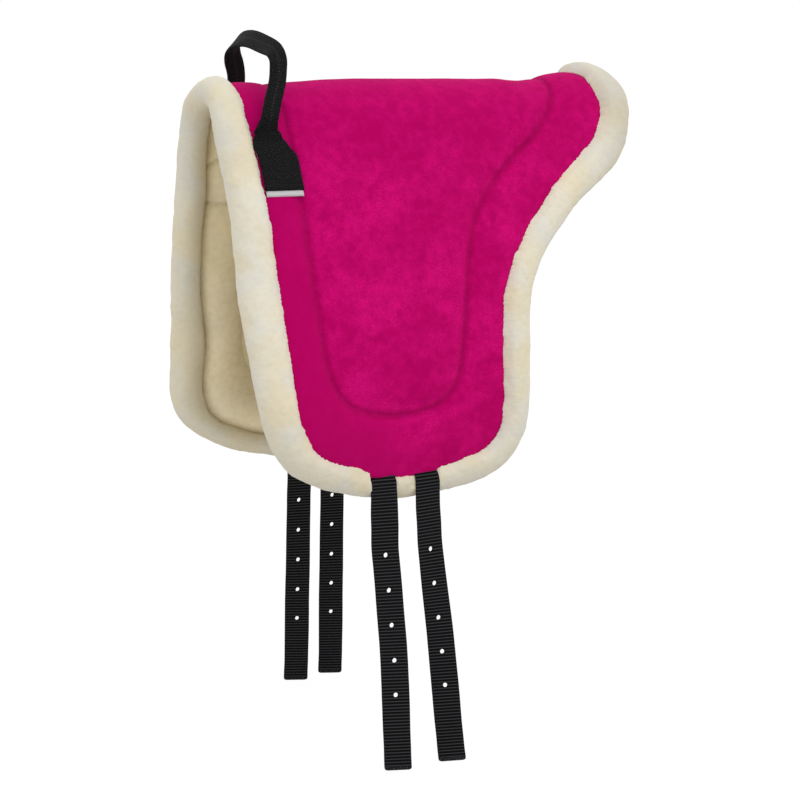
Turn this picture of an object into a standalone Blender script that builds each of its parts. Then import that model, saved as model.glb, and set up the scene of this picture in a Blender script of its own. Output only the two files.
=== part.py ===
"""Bareback riding pad, modelled in metres with +Z up.

+X runs from the pommel (front) to the cantle (rear). The horse's left side is -Y.
The origin is on the underside of the pad's ridge, half way along the suede cover.
Every soft piece is drawn flat first, as a cutter draws a pattern: x along the horse,
s down the side from the ridge, and t outwards through the thickness. The function
drape then lays that pattern over the arch of the horse's back.
"""
from math import pi

import bmesh
import bpy
import numpy as np

# Outer sizes of the draped pad
COVER_LENGTH = 0.4325
SIDE_LENGTH = 0.446
ARCH_HALF_WIDTH = 0.115
ARCH_DROP = 0.4495
FRONT_FLARE = 0.025
CANTLE_LIFT = 0.0125

# Thicknesses of the quilted layers
COVER_THICKNESS = 0.0023
FOAM_THICKNESS = 0.0113
LINING_THICKNESS = 0.0045
FIT_GAP = 0.0003

# Quilting, crown and the hem line where the side panels bend
CHANNEL_DEPTH = 0.0034
LINING_CHANNEL_DEPTH = 0.002
SEAT_CROWN = 0.004
BAND_CROWN = 0.0017
BEND_ARC = 0.17
BEND_GAP = 0.0006

# Fleece edge roll
ROLL_RADIUS = 0.0232
ROLL_SEAT_GAP = 0.0006

# Girth billets and the hidden carrier webs that they are sewn to
BILLET_WIDTH = 0.03
BILLET_THICKNESS = 0.0023
BILLET_LENGTH = 0.326
BILLET_PITCH = 0.0498
FRONT_BILLET_FROM_POMMEL = 0.1228
HOLE_RADIUS = 0.0025
HOLE_PITCH = 0.039
HOLE_MARGIN = 0.085
HOLE_COUNT = 5
BILLET_PRESS = 0.0014
CARRIER_THICKNESS = 0.0018
CARRIER_COVER = 0.004

# Grab handle
GRIP_WIDTH = 0.018
GRIP_THICKNESS = 0.0062
GRIP_RISE = 0.0403
GRIP_SLANT = 0.0192
GRIP_FROM_POMMEL = 0.0147
TAB_WIDTH = 0.04
TAB_THICKNESS = 0.002
TAB_TOP_ARC = 0.0792
TAB_LENGTH = 0.0634
BACKING_THICKNESS = 0.0009
BACKING_SHOW = 0.0068
TAB_EDGE_MARGIN = 0.0014
TAB_LEAN = 0.0041

# Half arch seen from the front: half-width share, drop share
ARCH_SHARES = (
    (0, 0), (0.207, 0.010), (0.374, 0.040), (0.493, 0.096), (0.571, 0.156),
    (0.660, 0.227), (0.739, 0.295), (0.828, 0.385), (0.906, 0.494), (0.966, 0.610),
    (1, 0.730), (0.990, 0.831), (0.946, 0.919), (0.877, 1),
)

# Suede outline of one side, from the ridge at the pommel round to the ridge at the
# cantle: share of the cover length, share of the side length
OUTLINE_SHARES = (
    (0.005, 0), (0.001, 0.09), (0.002, 0.15), (0.006, 0.208), (0.015, 0.292),
    (0.024, 0.376), (0.026, 0.459), (0.027, 0.546), (0.030, 0.629), (0.033, 0.713),
    (0.038, 0.797), (0.050, 0.858), (0.077, 0.903), (0.128, 0.940), (0.205, 0.975),
    (0.291, 0.996), (0.377, 1), (0.466, 0.989), (0.545, 0.968), (0.592, 0.942),
    (0.614, 0.908), (0.622, 0.850), (0.622, 0.794), (0.623, 0.736), (0.628, 0.650),
    (0.643, 0.563), (0.675, 0.497), (0.723, 0.426), (0.780, 0.363), (0.843, 0.302),
    (0.911, 0.249), (0.962, 0.205), (0.989, 0.168), (0.998, 0.135), (0.995, 0.102),
    (0.988, 0.05), (0.985, 0),
)
OUTLINE_CORNER_SHARES = ((0.077, 0.903), (0.614, 0.908))

# Stitched channel of one side, run the same way
CHANNEL_SHARES = (
    (0.094, 0), (0.097, 0.08), (0.101, 0.162), (0.108, 0.317), (0.115, 0.452),
    (0.119, 0.561), (0.124, 0.657), (0.137, 0.752), (0.172, 0.806), (0.250, 0.844),
    (0.332, 0.855), (0.406, 0.849), (0.458, 0.830), (0.492, 0.793), (0.509, 0.739),
    (0.521, 0.670), (0.530, 0.604), (0.550, 0.485), (0.561, 0.440), (0.577, 0.402),
    (0.600, 0.366), (0.634, 0.322), (0.671, 0.284), (0.762, 0.213), (0.820, 0.165),
    (0.853, 0.127), (0.877, 0.075), (0.887, 0),
)
CHANNEL_CORNER_SHARES = ((0.172, 0.806), (0.492, 0.793))

# Edge roll along that outline: place share, radius share, then how far out its
# centre sits and how tall it is, both as shares of its own radius
ROLL_SHARES = (
    (0, 0.71, 0.75, 0.97), (0.05, 0.82, 0.77, 0.93), (0.12, 0.88, 0.78, 0.94),
    (0.20, 1, 0.80, 0.91), (0.28, 0.99, 0.80, 0.91), (0.33, 0.95, 0.75, 0.90),
    (0.37, 0.87, 0.60, 0.84), (0.41, 0.84, 0.52, 0.74), (0.45, 0.84, 0.50, 0.73),
    (0.50, 0.85, 0.62, 0.75), (0.55, 0.88, 0.78, 0.84), (0.62, 0.89, 0.80, 0.88),
    (0.70, 0.92, 0.80, 0.88), (0.78, 0.86, 0.78, 0.91), (0.86, 0.91, 0.80, 0.87),
    (0.93, 0.99, 0.84, 0.84), (0.97, 0.92, 0.82, 0.86), (1, 0.84, 0.78, 0.90),
)
ROLL_SIDES = 11

# Grid lines of the panels, as shares of each patch
DOWN_SHARES = (0, 0.12, 0.24, 0.36, 0.48, 0.60, 0.71, 0.82, 0.92, 1)
ALONG_SHARES = (0, 0.05, 0.12, 0.22, 0.33, 0.44, 0.56, 0.67, 0.78, 0.88, 0.95, 1)
BAND_SHARES = (0, 0.22, 0.58, 1)
SEAT_ROW_SHARES = (-1, -0.8, -0.62, -0.46, -0.33, -0.21, -0.1, 0,
                   0.1, 0.21, 0.33, 0.46, 0.62, 0.8, 1)

# Crown that is left along the ridge, and how far outside the pad its sides pivot
RIDGE_CROWN_SHARE = 0.45
BEND_AXIS_SHARE = 0.95

# How far each billet leans as it hangs: outward, then toward the cantle
BILLET_OUT_LEAN_SHARE = 0.085
BILLET_BACK_LEAN_SHARES = {
    "left_front": 0.022, "left_rear": 0.072, "right_front": 0.005, "right_rear": 0.022,
}

# How far back of its even place each billet is sewn, as a share of their pitch
BILLET_SHIFT_SHARES = {
    "left_front": 0, "left_rear": 0.02, "right_front": 0.17, "right_rear": 0.04,
}

# Centre line of half the grip, from its sewn foot to the crest: share of the way in
# from the foot to the centre plane, share of the rise to the crest, shares of the slant
# on the left and on the right, share of the crest's turn
GRIP_SHARES = (
    (0, 0, 0, 0, 0), (0.02, 0.175, 0.2, 0.45, 0), (0.07, 0.363, 0.53, 0.9, 0),
    (0.13, 0.55, 0.85, 1.05, 0), (0.165, 0.701, 0.97, 1.03, 0.04),
    (0.195, 0.774, 1, 1, 0.12), (0.245, 0.834, 1, 1, 0.3), (0.335, 0.882, 1, 1, 0.6),
    (0.507, 0.924, 0.97, 0.97, 0.9), (0.73, 0.963, 0.92, 0.92, 1),
    (1, 1, 0.88, 0.88, 1),
)

# The crest's turn as a share of a half turn, its rear edge up, and its spread
GRIP_TURN_SHARE = 0.29
GRIP_CREST_WIDTH_SHARE = 1.15
GRIP_ROUNDING_SHARES = ((1, 0.45), (0.72, 1), (-0.72, 1), (-1, 0.45),
                        (-1, -0.45), (-0.72, -1), (0.72, -1), (1, -0.45))
GRIP_FOOT_SHARES = ((-1, 0.30), (-0.80, 0.68), (-0.45, 0.93))

HALF_THICKNESS = (COVER_THICKNESS + FOAM_THICKNESS + LINING_THICKNESS) / 2 + FIT_GAP
PROBE = COVER_LENGTH / 800
LEFT = -1
RIGHT = 1
SIDE_NAMES = {LEFT: "left", RIGHT: "right"}


def clear_scene():
    for item in list(bpy.data.objects):
        bpy.data.objects.remove(item, do_unlink=True)
    for group in list(bpy.data.collections):
        bpy.data.collections.remove(group)


def collection(name):
    group = bpy.data.collections.new(name)
    bpy.context.scene.collection.children.link(group)
    return group


def material(name, colour, roughness, metallic=0):
    finish = bpy.data.materials.new(name)
    finish.use_nodes = True
    shader = finish.node_tree.nodes["Principled BSDF"]
    shader.inputs["Base Color"].default_value = (*colour, 1)
    shader.inputs["Roughness"].default_value = roughness
    shader.inputs["Metallic"].default_value = metallic
    return finish


def spline(points, count):
    """Natural cubic curve through the points, read at even steps of its chords."""
    knots = np.array(points, float)
    steps = np.linalg.norm(np.diff(knots, axis=0), axis=1)
    place = np.concatenate(([0], np.cumsum(steps)))
    size = len(knots)
    system = np.eye(size)
    pull = np.zeros_like(knots)
    for i in range(1, size - 1):
        system[i, i - 1:i + 2] = (steps[i - 1], 2 * (steps[i - 1] + steps[i]), steps[i])
        rise_after = (knots[i + 1] - knots[i]) / steps[i]
        rise_before = (knots[i] - knots[i - 1]) / steps[i - 1]
        pull[i] = 6 * (rise_after - rise_before)
    bend = np.linalg.solve(system, pull)
    read = np.linspace(0, place[-1], count)
    cell = np.clip(np.searchsorted(place, read, side="right") - 1, 0, size - 2)
    width = steps[cell][:, None]
    ahead = ((read - place[cell]) / steps[cell])[:, None]
    behind = 1 - ahead
    curve = behind * knots[cell] + ahead * knots[cell + 1]
    curve += width ** 2 / 6 * (behind ** 3 - behind) * bend[cell]
    curve += width ** 2 / 6 * (ahead ** 3 - ahead) * bend[cell + 1]
    return curve


def arc_length(curve):
    return np.concatenate(([0], np.cumsum(np.linalg.norm(np.diff(curve, axis=0), axis=1))))


def resample(curve, shares):
    """Points of a fine curve at the given shares of its length."""
    length = arc_length(curve)
    at = np.array(shares) * length[-1]
    return np.stack([np.interp(at, length, curve[:, k]) for k in range(2)], axis=-1)


def ease(value, low, high):
    share = np.clip((value - low) / (high - low), 0, 1)
    return share * share * (3 - 2 * share)


def arch_curve():
    """Both halves of the arch as one smooth curve, with its length from the ridge.

    It runs on straight past its ends, for sides that are longer than the arch.
    """
    half = np.array(ARCH_SHARES) * (ARCH_HALF_WIDTH, ARCH_DROP)
    whole = np.concatenate((half[:0:-1] * (-1, 1), half))
    curve = spline(whole, 2401)
    heading = (curve[-1] - curve[-2]) / np.linalg.norm(curve[-1] - curve[-2])
    tail = curve[-1] + heading * SIDE_LENGTH
    curve = np.concatenate(([tail * (-1, 1)], curve, [tail]))
    length = arc_length(curve)
    return curve, length - length[len(length) // 2]


ARCH, ARCH_LENGTH = arch_curve()
RIDGE_REACH = SIDE_LENGTH * 0.28


def middle_surface(x, s):
    """The middle of the pad's thickness: s is negative on the left side."""
    across = np.interp(s, ARCH_LENGTH, ARCH[:, 0])
    down = np.interp(s, ARCH_LENGTH, ARCH[:, 1])
    arc = np.abs(s)
    near_pommel = 1 - ease(x, -COVER_LENGTH / 2 - ROLL_RADIUS, -COVER_LENGTH * 0.155)
    flare = FRONT_FLARE * near_pommel * ease(arc, BEND_ARC * 1.1, SIDE_LENGTH * 0.89)
    near_cantle = ease(x, COVER_LENGTH * 0.265, COVER_LENGTH / 2)
    near_ridge = 1 - ease(arc, RIDGE_REACH * 0.18, RIDGE_REACH)
    lift = CANTLE_LIFT * near_cantle * near_ridge
    droop = CANTLE_LIFT * 0.18 * (1 - ease(x, -COVER_LENGTH / 2, -COVER_LENGTH / 4)) * near_ridge
    height = HALF_THICKNESS - down + lift - droop
    return np.stack([x + 0 * s, across + np.sign(s) * flare, height], axis=-1)


def drape(x, s, t):
    """Lays pattern points over the back: the middle surface plus t along its normal."""
    x, s, t = np.broadcast_arrays(*(np.asarray(v, float) for v in (x, s, t)))
    along = middle_surface(x + PROBE, s) - middle_surface(x - PROBE, s)
    around = middle_surface(x, s + PROBE) - middle_surface(x, s - PROBE)
    normal = np.cross(along, around)
    normal /= np.linalg.norm(normal, axis=-1, keepdims=True)
    return middle_surface(x, s) + t[..., None] * normal


def pattern_curve(shares):
    """A pattern line of one side in metres, x from the middle of the cover."""
    curve = spline(shares, 1201)
    return (curve - (0.5, 0)) * (COVER_LENGTH, SIDE_LENGTH)


OUTLINE = pattern_curve(OUTLINE_SHARES)
CHANNEL = pattern_curve(CHANNEL_SHARES)


def corner_index(curve, corner_share):
    corner = (np.array(corner_share) - (0.5, 0)) * (COVER_LENGTH, SIDE_LENGTH)
    return int(np.argmin(np.linalg.norm(curve - corner, axis=1)))


def crossing(curve, arc, rear):
    """x where a pattern line passes the given arc, before or after its lowest point."""
    lowest = int(np.argmax(curve[:, 1]))
    part = curve[lowest:][::-1] if rear else curve[:lowest + 1]
    return np.interp(arc, part[:, 1], part[:, 0])


def runs(curve, corner_shares, top_arc):
    """Front, bottom and rear runs of a pattern line below the bend."""
    first, second = (corner_index(curve, share) for share in corner_shares)
    below = np.nonzero(curve[:, 1] > top_arc)[0]
    start = (crossing(curve, top_arc, False), top_arc)
    end = (crossing(curve, top_arc, True), top_arc)
    front = np.concatenate(([start], curve[below[0]:first + 1]))
    bottom = curve[first:second + 1]
    rear = np.concatenate((curve[second:below[-1] + 1], [end]))[::-1]
    return (resample(front, DOWN_SHARES), resample(bottom, ALONG_SHARES),
            resample(rear, DOWN_SHARES))


def coons(front, bottom, rear):
    """Fills the four-sided patch between two runs down, the bottom and the bend."""
    v = np.array(DOWN_SHARES)[:, None, None]
    u = np.array(ALONG_SHARES)[None, :, None]
    top = front[0] + (rear[0] - front[0]) * np.array(ALONG_SHARES)[:, None]
    sides = (1 - u) * front[:, None] + u * rear[:, None]
    ends = (1 - v) * top[None] + v * bottom[None]
    corners = ((1 - v) * ((1 - u) * front[0] + u * rear[0])
               + v * ((1 - u) * bottom[0] + u * bottom[-1]))
    return sides + ends - corners


class Panel:
    """Pattern points of one panel, its triangles and its share of each swelling.

    Layers share the triangles, so that faces that lie on each other stay parallel.
    """

    def __init__(self):
        self.points = []
        self.seat = []
        self.band = []
        self.channel = []
        self.triangles = []
        self.index = {}

    def add(self, point, seat, band, channel):
        key = tuple(np.round(np.array(point) / PROBE, 1))
        if key not in self.index:
            self.index[key] = len(self.points)
            self.points.append(point)
            self.seat.append(seat)
            self.band.append(band)
            self.channel.append(channel)
        return self.index[key]

    def sheet(self, grid, seat, band, channel):
        rows, columns = grid.shape[:2]
        ids = [[self.add(grid[i, j], seat[i, j], band[i, j], channel[i, j])
                for j in range(columns)] for i in range(rows)]
        for i in range(rows - 1):
            for j in range(columns - 1):
                a, b, c, d = (ids[i][j], ids[i][j + 1], ids[i + 1][j + 1], ids[i + 1][j])
                self.triangles += [(a, b, c), (a, c, d)]


def swell_shares(shares):
    """A dome over 0 to 1, nought at both ends and nearly flat between."""
    place = np.array(shares)
    return 1 - np.abs(2 * place - 1) ** 3


def band_sheet(panel, inner, outer):
    """The border band between the channel and the suede edge."""
    place = np.array(BAND_SHARES)[None, :, None]
    grid = inner[:, None] * (1 - place) + outer[:, None] * place
    rows = len(inner)
    zero = np.zeros((rows, len(BAND_SHARES)))
    swell = np.tile(swell_shares(BAND_SHARES), (rows, 1))
    sunk = zero.copy()
    sunk[:, 0] = 1
    panel.sheet(grid, zero, swell, sunk)


def side_panel(bend_offset):
    """One side below the bend: the seat patch inside the channel and the band round it."""
    top_arc = BEND_ARC + bend_offset
    inner = runs(CHANNEL, CHANNEL_CORNER_SHARES, top_arc)
    outer = runs(OUTLINE, OUTLINE_CORNER_SHARES, top_arc)
    panel = Panel()
    grid = coons(*inner)
    across = swell_shares(ALONG_SHARES)[None, :]
    down = swell_shares(0.5 + 0.5 * np.array(DOWN_SHARES))[:, None]
    sunk = np.zeros(grid.shape[:2])
    sunk[:, 0] = sunk[:, -1] = sunk[-1] = 1
    panel.sheet(grid, across * down, 0 * sunk, sunk)
    inner_line = np.concatenate((inner[0][:-1], inner[1], inner[2][-2::-1]))
    outer_line = np.concatenate((outer[0][:-1], outer[1], outer[2][-2::-1]))
    band_sheet(panel, inner_line, outer_line)
    return panel, outer_line


def seat_panel(bend_offset):
    """The part over the ridge, from one bend to the other."""
    arcs = np.array(SEAT_ROW_SHARES) * (BEND_ARC - bend_offset)
    front_edge, rear_edge = (crossing(OUTLINE, np.abs(arcs), rear) for rear in (False, True))
    front_seam, rear_seam = (crossing(CHANNEL, np.abs(arcs), rear) for rear in (False, True))
    rows = [np.stack([x, arcs], axis=-1) for x in (front_edge, front_seam, rear_seam, rear_edge)]
    panel = Panel()
    place = np.array(ALONG_SHARES)[None, :, None]
    grid = rows[1][:, None] * (1 - place) + rows[2][:, None] * place
    flatter = RIDGE_CROWN_SHARE + (1 - RIDGE_CROWN_SHARE) * ease(np.abs(arcs), 0, RIDGE_REACH)
    swell = flatter[:, None] * swell_shares(ALONG_SHARES)[None, :]
    sunk = np.zeros(grid.shape[:2])
    sunk[:, 0] = sunk[:, -1] = 1
    panel.sheet(grid, swell, 0 * sunk, sunk)
    band_sheet(panel, rows[1], rows[0])
    band_sheet(panel, rows[2], rows[3])
    return panel, rows[0], rows[3]


def object_from(name, vertices, faces, finish, group):
    """A closed mesh object whose faces are turned outward."""
    mesh = bpy.data.meshes.new(name)
    mesh.from_pydata([tuple(v) for v in vertices], [], faces)
    shape = bmesh.new()
    shape.from_mesh(mesh)
    bmesh.ops.recalc_face_normals(shape, faces=shape.faces)
    shape.to_mesh(mesh)
    shape.free()
    mesh.shade_smooth()
    mesh.set_sharp_from_angle(angle=pi / 4)
    item = bpy.data.objects.new(name, mesh)
    if finish:
        mesh.materials.append(finish)
    group.objects.link(item)
    return item


def layer_heights(panel):
    """Height t of each face of the layers at each pattern point, outermost first."""
    seat, band, sunk = (np.array(v) for v in (panel.seat, panel.band, panel.channel))
    outside = HALF_THICKNESS + SEAT_CROWN * seat + BAND_CROWN * band - CHANNEL_DEPTH * sunk
    inside = -HALF_THICKNESS + LINING_CHANNEL_DEPTH * sunk
    return {
        "cover": (outside, outside - COVER_THICKNESS),
        "foam": (outside - COVER_THICKNESS - FIT_GAP, inside + LINING_THICKNESS + FIT_GAP),
        "lining": (inside + LINING_THICKNESS, inside),
        "clearance": (outside + FIT_GAP, outside - FOAM_THICKNESS),
    }


def layer(name, panel, heights, side, finish, group):
    """A layer of a panel: its two faces and the rim between them."""
    points = np.array(panel.points)
    arcs = points[:, 1] * side
    outer, inner = (drape(points[:, 0], arcs, t) for t in heights)
    count = len(points)
    faces = list(panel.triangles)
    faces += [tuple(k + count for k in reversed(face)) for face in panel.triangles]
    used = {}
    for face in panel.triangles:
        for a, b in zip(face, face[1:] + face[:1]):
            used.setdefault(frozenset((a, b)), []).append((a, b))
    for edges in used.values():
        if len(edges) == 1:
            a, b = edges[0]
            faces.append((b, a, a + count, b + count))
    return object_from(name, np.concatenate((outer, inner)), faces, finish, group)


def loft(name, sections, finish, group):
    """A closed body through sections with the same number of points."""
    rings = [np.array(section) for section in sections]
    size = len(rings[0])
    faces = []
    for i in range(len(rings) - 1):
        for j in range(size):
            k = (j + 1) % size
            faces.append((i * size + j, i * size + k, (i + 1) * size + k, (i + 1) * size + j))
    last = (len(rings) - 1) * size
    faces.append(tuple(range(size)))
    faces.append(tuple(last + j for j in reversed(range(size))))
    return object_from(name, np.concatenate(rings), faces, finish, group)


def outline_place(points):
    """Share of the way round the half outline for points on or near it."""
    length = arc_length(OUTLINE)
    folded = np.column_stack([points[:, 0], np.abs(points[:, 1])])
    gap = np.linalg.norm(OUTLINE[None] - folded[:, None], axis=-1)
    return length[np.argmin(gap, axis=1)] / length[-1]


def edge_roll(name, line, side, square_ends, finish, group):
    """Fleece roll along a pattern line, flat where it meets the panel's edge.

    The first and last sections lie along the bend, so that the rolls of the seat and
    the sides meet on one plane.
    """
    tangent = np.gradient(line, axis=0)
    tangent /= np.linalg.norm(tangent, axis=1)[:, None]
    outward = np.stack([tangent[:, 1], -tangent[:, 0]], axis=-1)
    middle_of_cover = np.array((0, SIDE_LENGTH / 2 if line[:, 1].min() > 0 else 0))
    if np.sum(outward * (line - middle_of_cover)) < 0:
        outward = -outward
    shares = np.array(ROLL_SHARES)
    place = outline_place(line)
    radius = np.interp(place, shares[:, 0], shares[:, 1]) * ROLL_RADIUS
    offset = np.interp(place, shares[:, 0], shares[:, 2]) * radius
    height = np.interp(place, shares[:, 0], shares[:, 3]) * radius
    stretch = np.ones(len(line))
    for end in ((0, -1) if square_ends else ()):
        stretch[end] = 1 / abs(outward[end, 0])
        outward[end] = (np.sign(outward[end, 0]), 0)
    sections = []
    for i, point in enumerate(line):
        reach = np.arccos(np.clip((ROLL_SEAT_GAP - offset[i]) / radius[i], -1, 1))
        turn = np.linspace(-reach, reach, ROLL_SIDES)
        away = (offset[i] + radius[i] * np.cos(turn)) * stretch[i]
        away[0] = away[-1] = ROLL_SEAT_GAP * stretch[i]
        spot = point + away[:, None] * outward[i]
        sections.append(drape(spot[:, 0], spot[:, 1] * side, height[i] * np.sin(turn)))
    return loft(name, sections, finish, group)


def pattern_strip(name, centres, width, arcs, top, bottom, side, finish, group):
    """A flat strip of webbing laid on the pattern, with a top and a bottom height."""
    sections = []
    for centre, arc in zip(centres, arcs):
        x = centre + width * np.array((-0.5, 0.5, 0.5, -0.5))
        t = np.array((top, top, bottom, bottom))
        sections.append(drape(x, arc * side, t))
    return loft(name, sections, finish, group)


def cut(item, cutter):
    """Boolean difference, kept as a modifier on the piece."""
    cutter.hide_render = True
    cutter.display_type = "WIRE"
    step = item.modifiers.new("cut_" + cutter.name, "BOOLEAN")
    step.operation = "DIFFERENCE"
    step.solver = "EXACT"
    step.object = cutter


def web_centre(place):
    front = -COVER_LENGTH / 2 + FRONT_BILLET_FROM_POMMEL
    return front if place == "front" else front + BILLET_PITCH


def billet_centre(place, side):
    shift = BILLET_SHIFT_SHARES[f"{SIDE_NAMES[side]}_{place}"]
    return web_centre(place) + shift * BILLET_PITCH


def billet_hem(place, side):
    """Shortest and longest arc down to the hem across a billet's width."""
    first, second = (corner_index(OUTLINE, share) for share in OUTLINE_CORNER_SHARES)
    bottom = OUTLINE[first:second]
    across = billet_centre(place, side) + BILLET_WIDTH / 2 * np.linspace(-1, 1, 9)
    arcs = np.interp(across, bottom[:, 0], bottom[:, 1])
    return arcs.min(), arcs.max()


def billet_path(place, side):
    """Centre line of a billet in (y, z), from its root at the hem to its tip."""
    x = billet_centre(place, side)
    hem = billet_hem(place, side)[1]
    share = np.array(ROLL_SHARES)
    here = outline_place(np.array([(x, hem)]))[0]
    radius = np.interp(here, share[:, 0], share[:, 1]) * ROLL_RADIUS
    offset = np.interp(here, share[:, 0], share[:, 2]) * radius
    height = np.interp(here, share[:, 0], share[:, 3]) * radius
    root_t = HALF_THICKNESS - BILLET_THICKNESS / 2
    crest_t = height - BILLET_PRESS + BILLET_THICKNESS / 2
    root_away = ROLL_SEAT_GAP + BILLET_THICKNESS * 0.4
    away = np.array((root_away, offset * 0.45, offset * 0.9, offset * 1.25))
    tall = root_t + (crest_t - root_t) * np.array((0, 0.62, 0.95, 1.08))
    start = drape(x, (hem + away) * side, tall)[:, 1:]
    used = arc_length(start)[-1]
    heading = np.array((BILLET_OUT_LEAN_SHARE * side, -1))
    heading /= np.linalg.norm(heading)
    rest = start[-1] + heading * (BILLET_LENGTH - used)
    return np.concatenate((start, [rest])), used


def billet_axis(place, side):
    """The billet swings on the outer edge of its sewn end: y and z of that line."""
    path = billet_path(place, side)[0]
    tangent = (path[1] - path[0]) / np.linalg.norm(path[1] - path[0])
    return path[0] + np.array((-tangent[1], tangent[0])) * side * BILLET_THICKNESS / 2


def ribbon(name, path, x_centre, back_lean, width, inner, outer, side, finish, group):
    """A strap of constant width along X; inner and outer are heights off its centre line."""
    tangent = np.gradient(path, axis=0)
    tangent[0] = path[1] - path[0]
    tangent[-1] = path[-1] - path[-2]
    tangent /= np.linalg.norm(tangent, axis=1)[:, None]
    normal = np.stack([-tangent[:, 1], tangent[:, 0]], axis=-1) * side
    length = arc_length(path)
    sections = []
    for point, away, run in zip(path, normal, length):
        x = x_centre + back_lean * run
        low, high = point + away * inner, point + away * outer
        sections.append([(x - width / 2, *low), (x + width / 2, *low),
                         (x + width / 2, *high), (x - width / 2, *high)])
    return loft(name, sections, finish, group)


def hole_cutters(name, path, used, x_centre, back_lean, group):
    """Round punches through the straight part of a billet."""
    heading = path[-1] - path[-2]
    heading /= np.linalg.norm(heading)
    lean = np.arctan2(heading[0], -heading[1])
    items = []
    for k in range(HOLE_COUNT):
        run = HOLE_MARGIN + k * HOLE_PITCH
        y, z = path[-2] + heading * (run - used)
        bpy.ops.mesh.primitive_cylinder_add(
            vertices=14, radius=HOLE_RADIUS, depth=BILLET_THICKNESS * 4,
            location=(x_centre + back_lean * run, y, z), rotation=(pi / 2 + lean, 0, 0))
        punch = bpy.context.object
        punch.name = f"{name}_punch_{k + 1}"
        for owner in list(punch.users_collection):
            owner.objects.unlink(punch)
        group.objects.link(punch)
        items.append(punch)
    return items


def billet(place, side, finish, parts, cutters):
    """One girth billet, and the cutter that presses its bed into the fleece roll."""
    label = f"{SIDE_NAMES[side]}_{place}"
    path, used = billet_path(place, side)
    lean = BILLET_BACK_LEAN_SHARES[label]
    x = billet_centre(place, side)
    half = BILLET_THICKNESS / 2
    strap = ribbon(label + "_billet", path, x, lean, BILLET_WIDTH, -half, half, side,
                   finish, parts)
    for punch in hole_cutters(label, path, used, x, lean, cutters):
        cut(strap, punch)
    short = np.array(path)
    short[-1] = path[-2] + (path[-1] - path[-2]) * 0.25
    short[0] += (path[0] - path[1]) * 0.4
    bed = ribbon(label + "_bed", short, x, lean, BILLET_WIDTH + 2 * FIT_GAP,
                 -half - FIT_GAP, ROLL_RADIUS, side, None, cutters)
    return strap, bed


def carrier(name, place, arcs, side, finish, parts, cutters, foam):
    """A hidden carrier web run inside the foam, with its tunnel.

    Below the bend it heads for its billet, which may be sewn a little further back.
    """
    ends = (web_centre(place), billet_centre(place, side))
    top = HALF_THICKNESS - COVER_THICKNESS - CARRIER_COVER
    run = (BEND_ARC, billet_hem(place, side)[0])
    web = pattern_strip(name, np.interp(arcs, run, ends), BILLET_WIDTH, arcs, top,
                        top - CARRIER_THICKNESS, side, finish, parts)
    reach = ROLL_RADIUS / 2
    over = np.concatenate(([arcs[0] - reach], arcs, [arcs[-1] + reach]))
    tunnel = pattern_strip(name + "_tunnel", np.interp(over, run, ends),
                           BILLET_WIDTH + 2 * FIT_GAP, over, top + FIT_GAP,
                           top - CARRIER_THICKNESS - FIT_GAP, side, None, cutters)
    cut(foam, tunnel)
    return web


def tab_grid(x_centre, width, top_arc, length, bottom, top, side):
    """Sections of a patch that lies on the cover, wide at the foot, nipped at its top."""
    sections = []
    for share, nip in ((0, 0.56), (0.2, 0.82), (0.4, 1), (0.6, 1), (0.8, 1), (1, 1)):
        arc = (top_arc + length * share) * side
        front = x_centre + TAB_LEAN * share - width / 2
        x = np.array((front, front + width * nip, front + width * nip, front))
        t = np.array((top, top, bottom, bottom))
        sections.append(drape(x, arc, t))
    return sections


def handle_tab(side, panel, black, grey, parts, cutters):
    """Sewn foot of the handle on one side, over its backing patch."""
    label = SIDE_NAMES[side]
    hem_arc = TAB_TOP_ARC + TAB_LENGTH + BACKING_SHOW
    x = crossing(OUTLINE, hem_arc, False) + TAB_EDGE_MARGIN + TAB_WIDTH / 2 - TAB_LEAN
    face = HALF_THICKNESS + BAND_CROWN
    backing_top = face + FIT_GAP + BACKING_THICKNESS
    backing = loft(label + "_tab_backing", tab_grid(
        x, TAB_WIDTH, TAB_TOP_ARC, TAB_LENGTH + BACKING_SHOW,
        HALF_THICKNESS - CHANNEL_DEPTH, backing_top, side), grey, parts)
    tab = loft(label + "_handle_tab", tab_grid(
        x, TAB_WIDTH, TAB_TOP_ARC, TAB_LENGTH, backing_top + FIT_GAP,
        backing_top + FIT_GAP + TAB_THICKNESS, side), black, parts)
    clearance = layer(label + "_cover_clearance", panel, layer_heights(panel)["clearance"],
                      RIGHT, None, cutters)
    cut(backing, clearance)
    return backing, tab


def grip_foot():
    """Place of the handle's sewn foot on the right side: x, y and z."""
    x = -COVER_LENGTH / 2 + GRIP_FROM_POMMEL
    tab_face = HALF_THICKNESS + BAND_CROWN + BACKING_THICKNESS + TAB_THICKNESS + 3 * FIT_GAP
    pivot = drape(x, TAB_TOP_ARC + GRIP_WIDTH / 4, tab_face)
    lowest = drape(x, TAB_TOP_ARC + GRIP_WIDTH * 0.8, tab_face)
    return np.array((x, lowest[1] + GRIP_THICKNESS / 2, pivot[2]))


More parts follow.
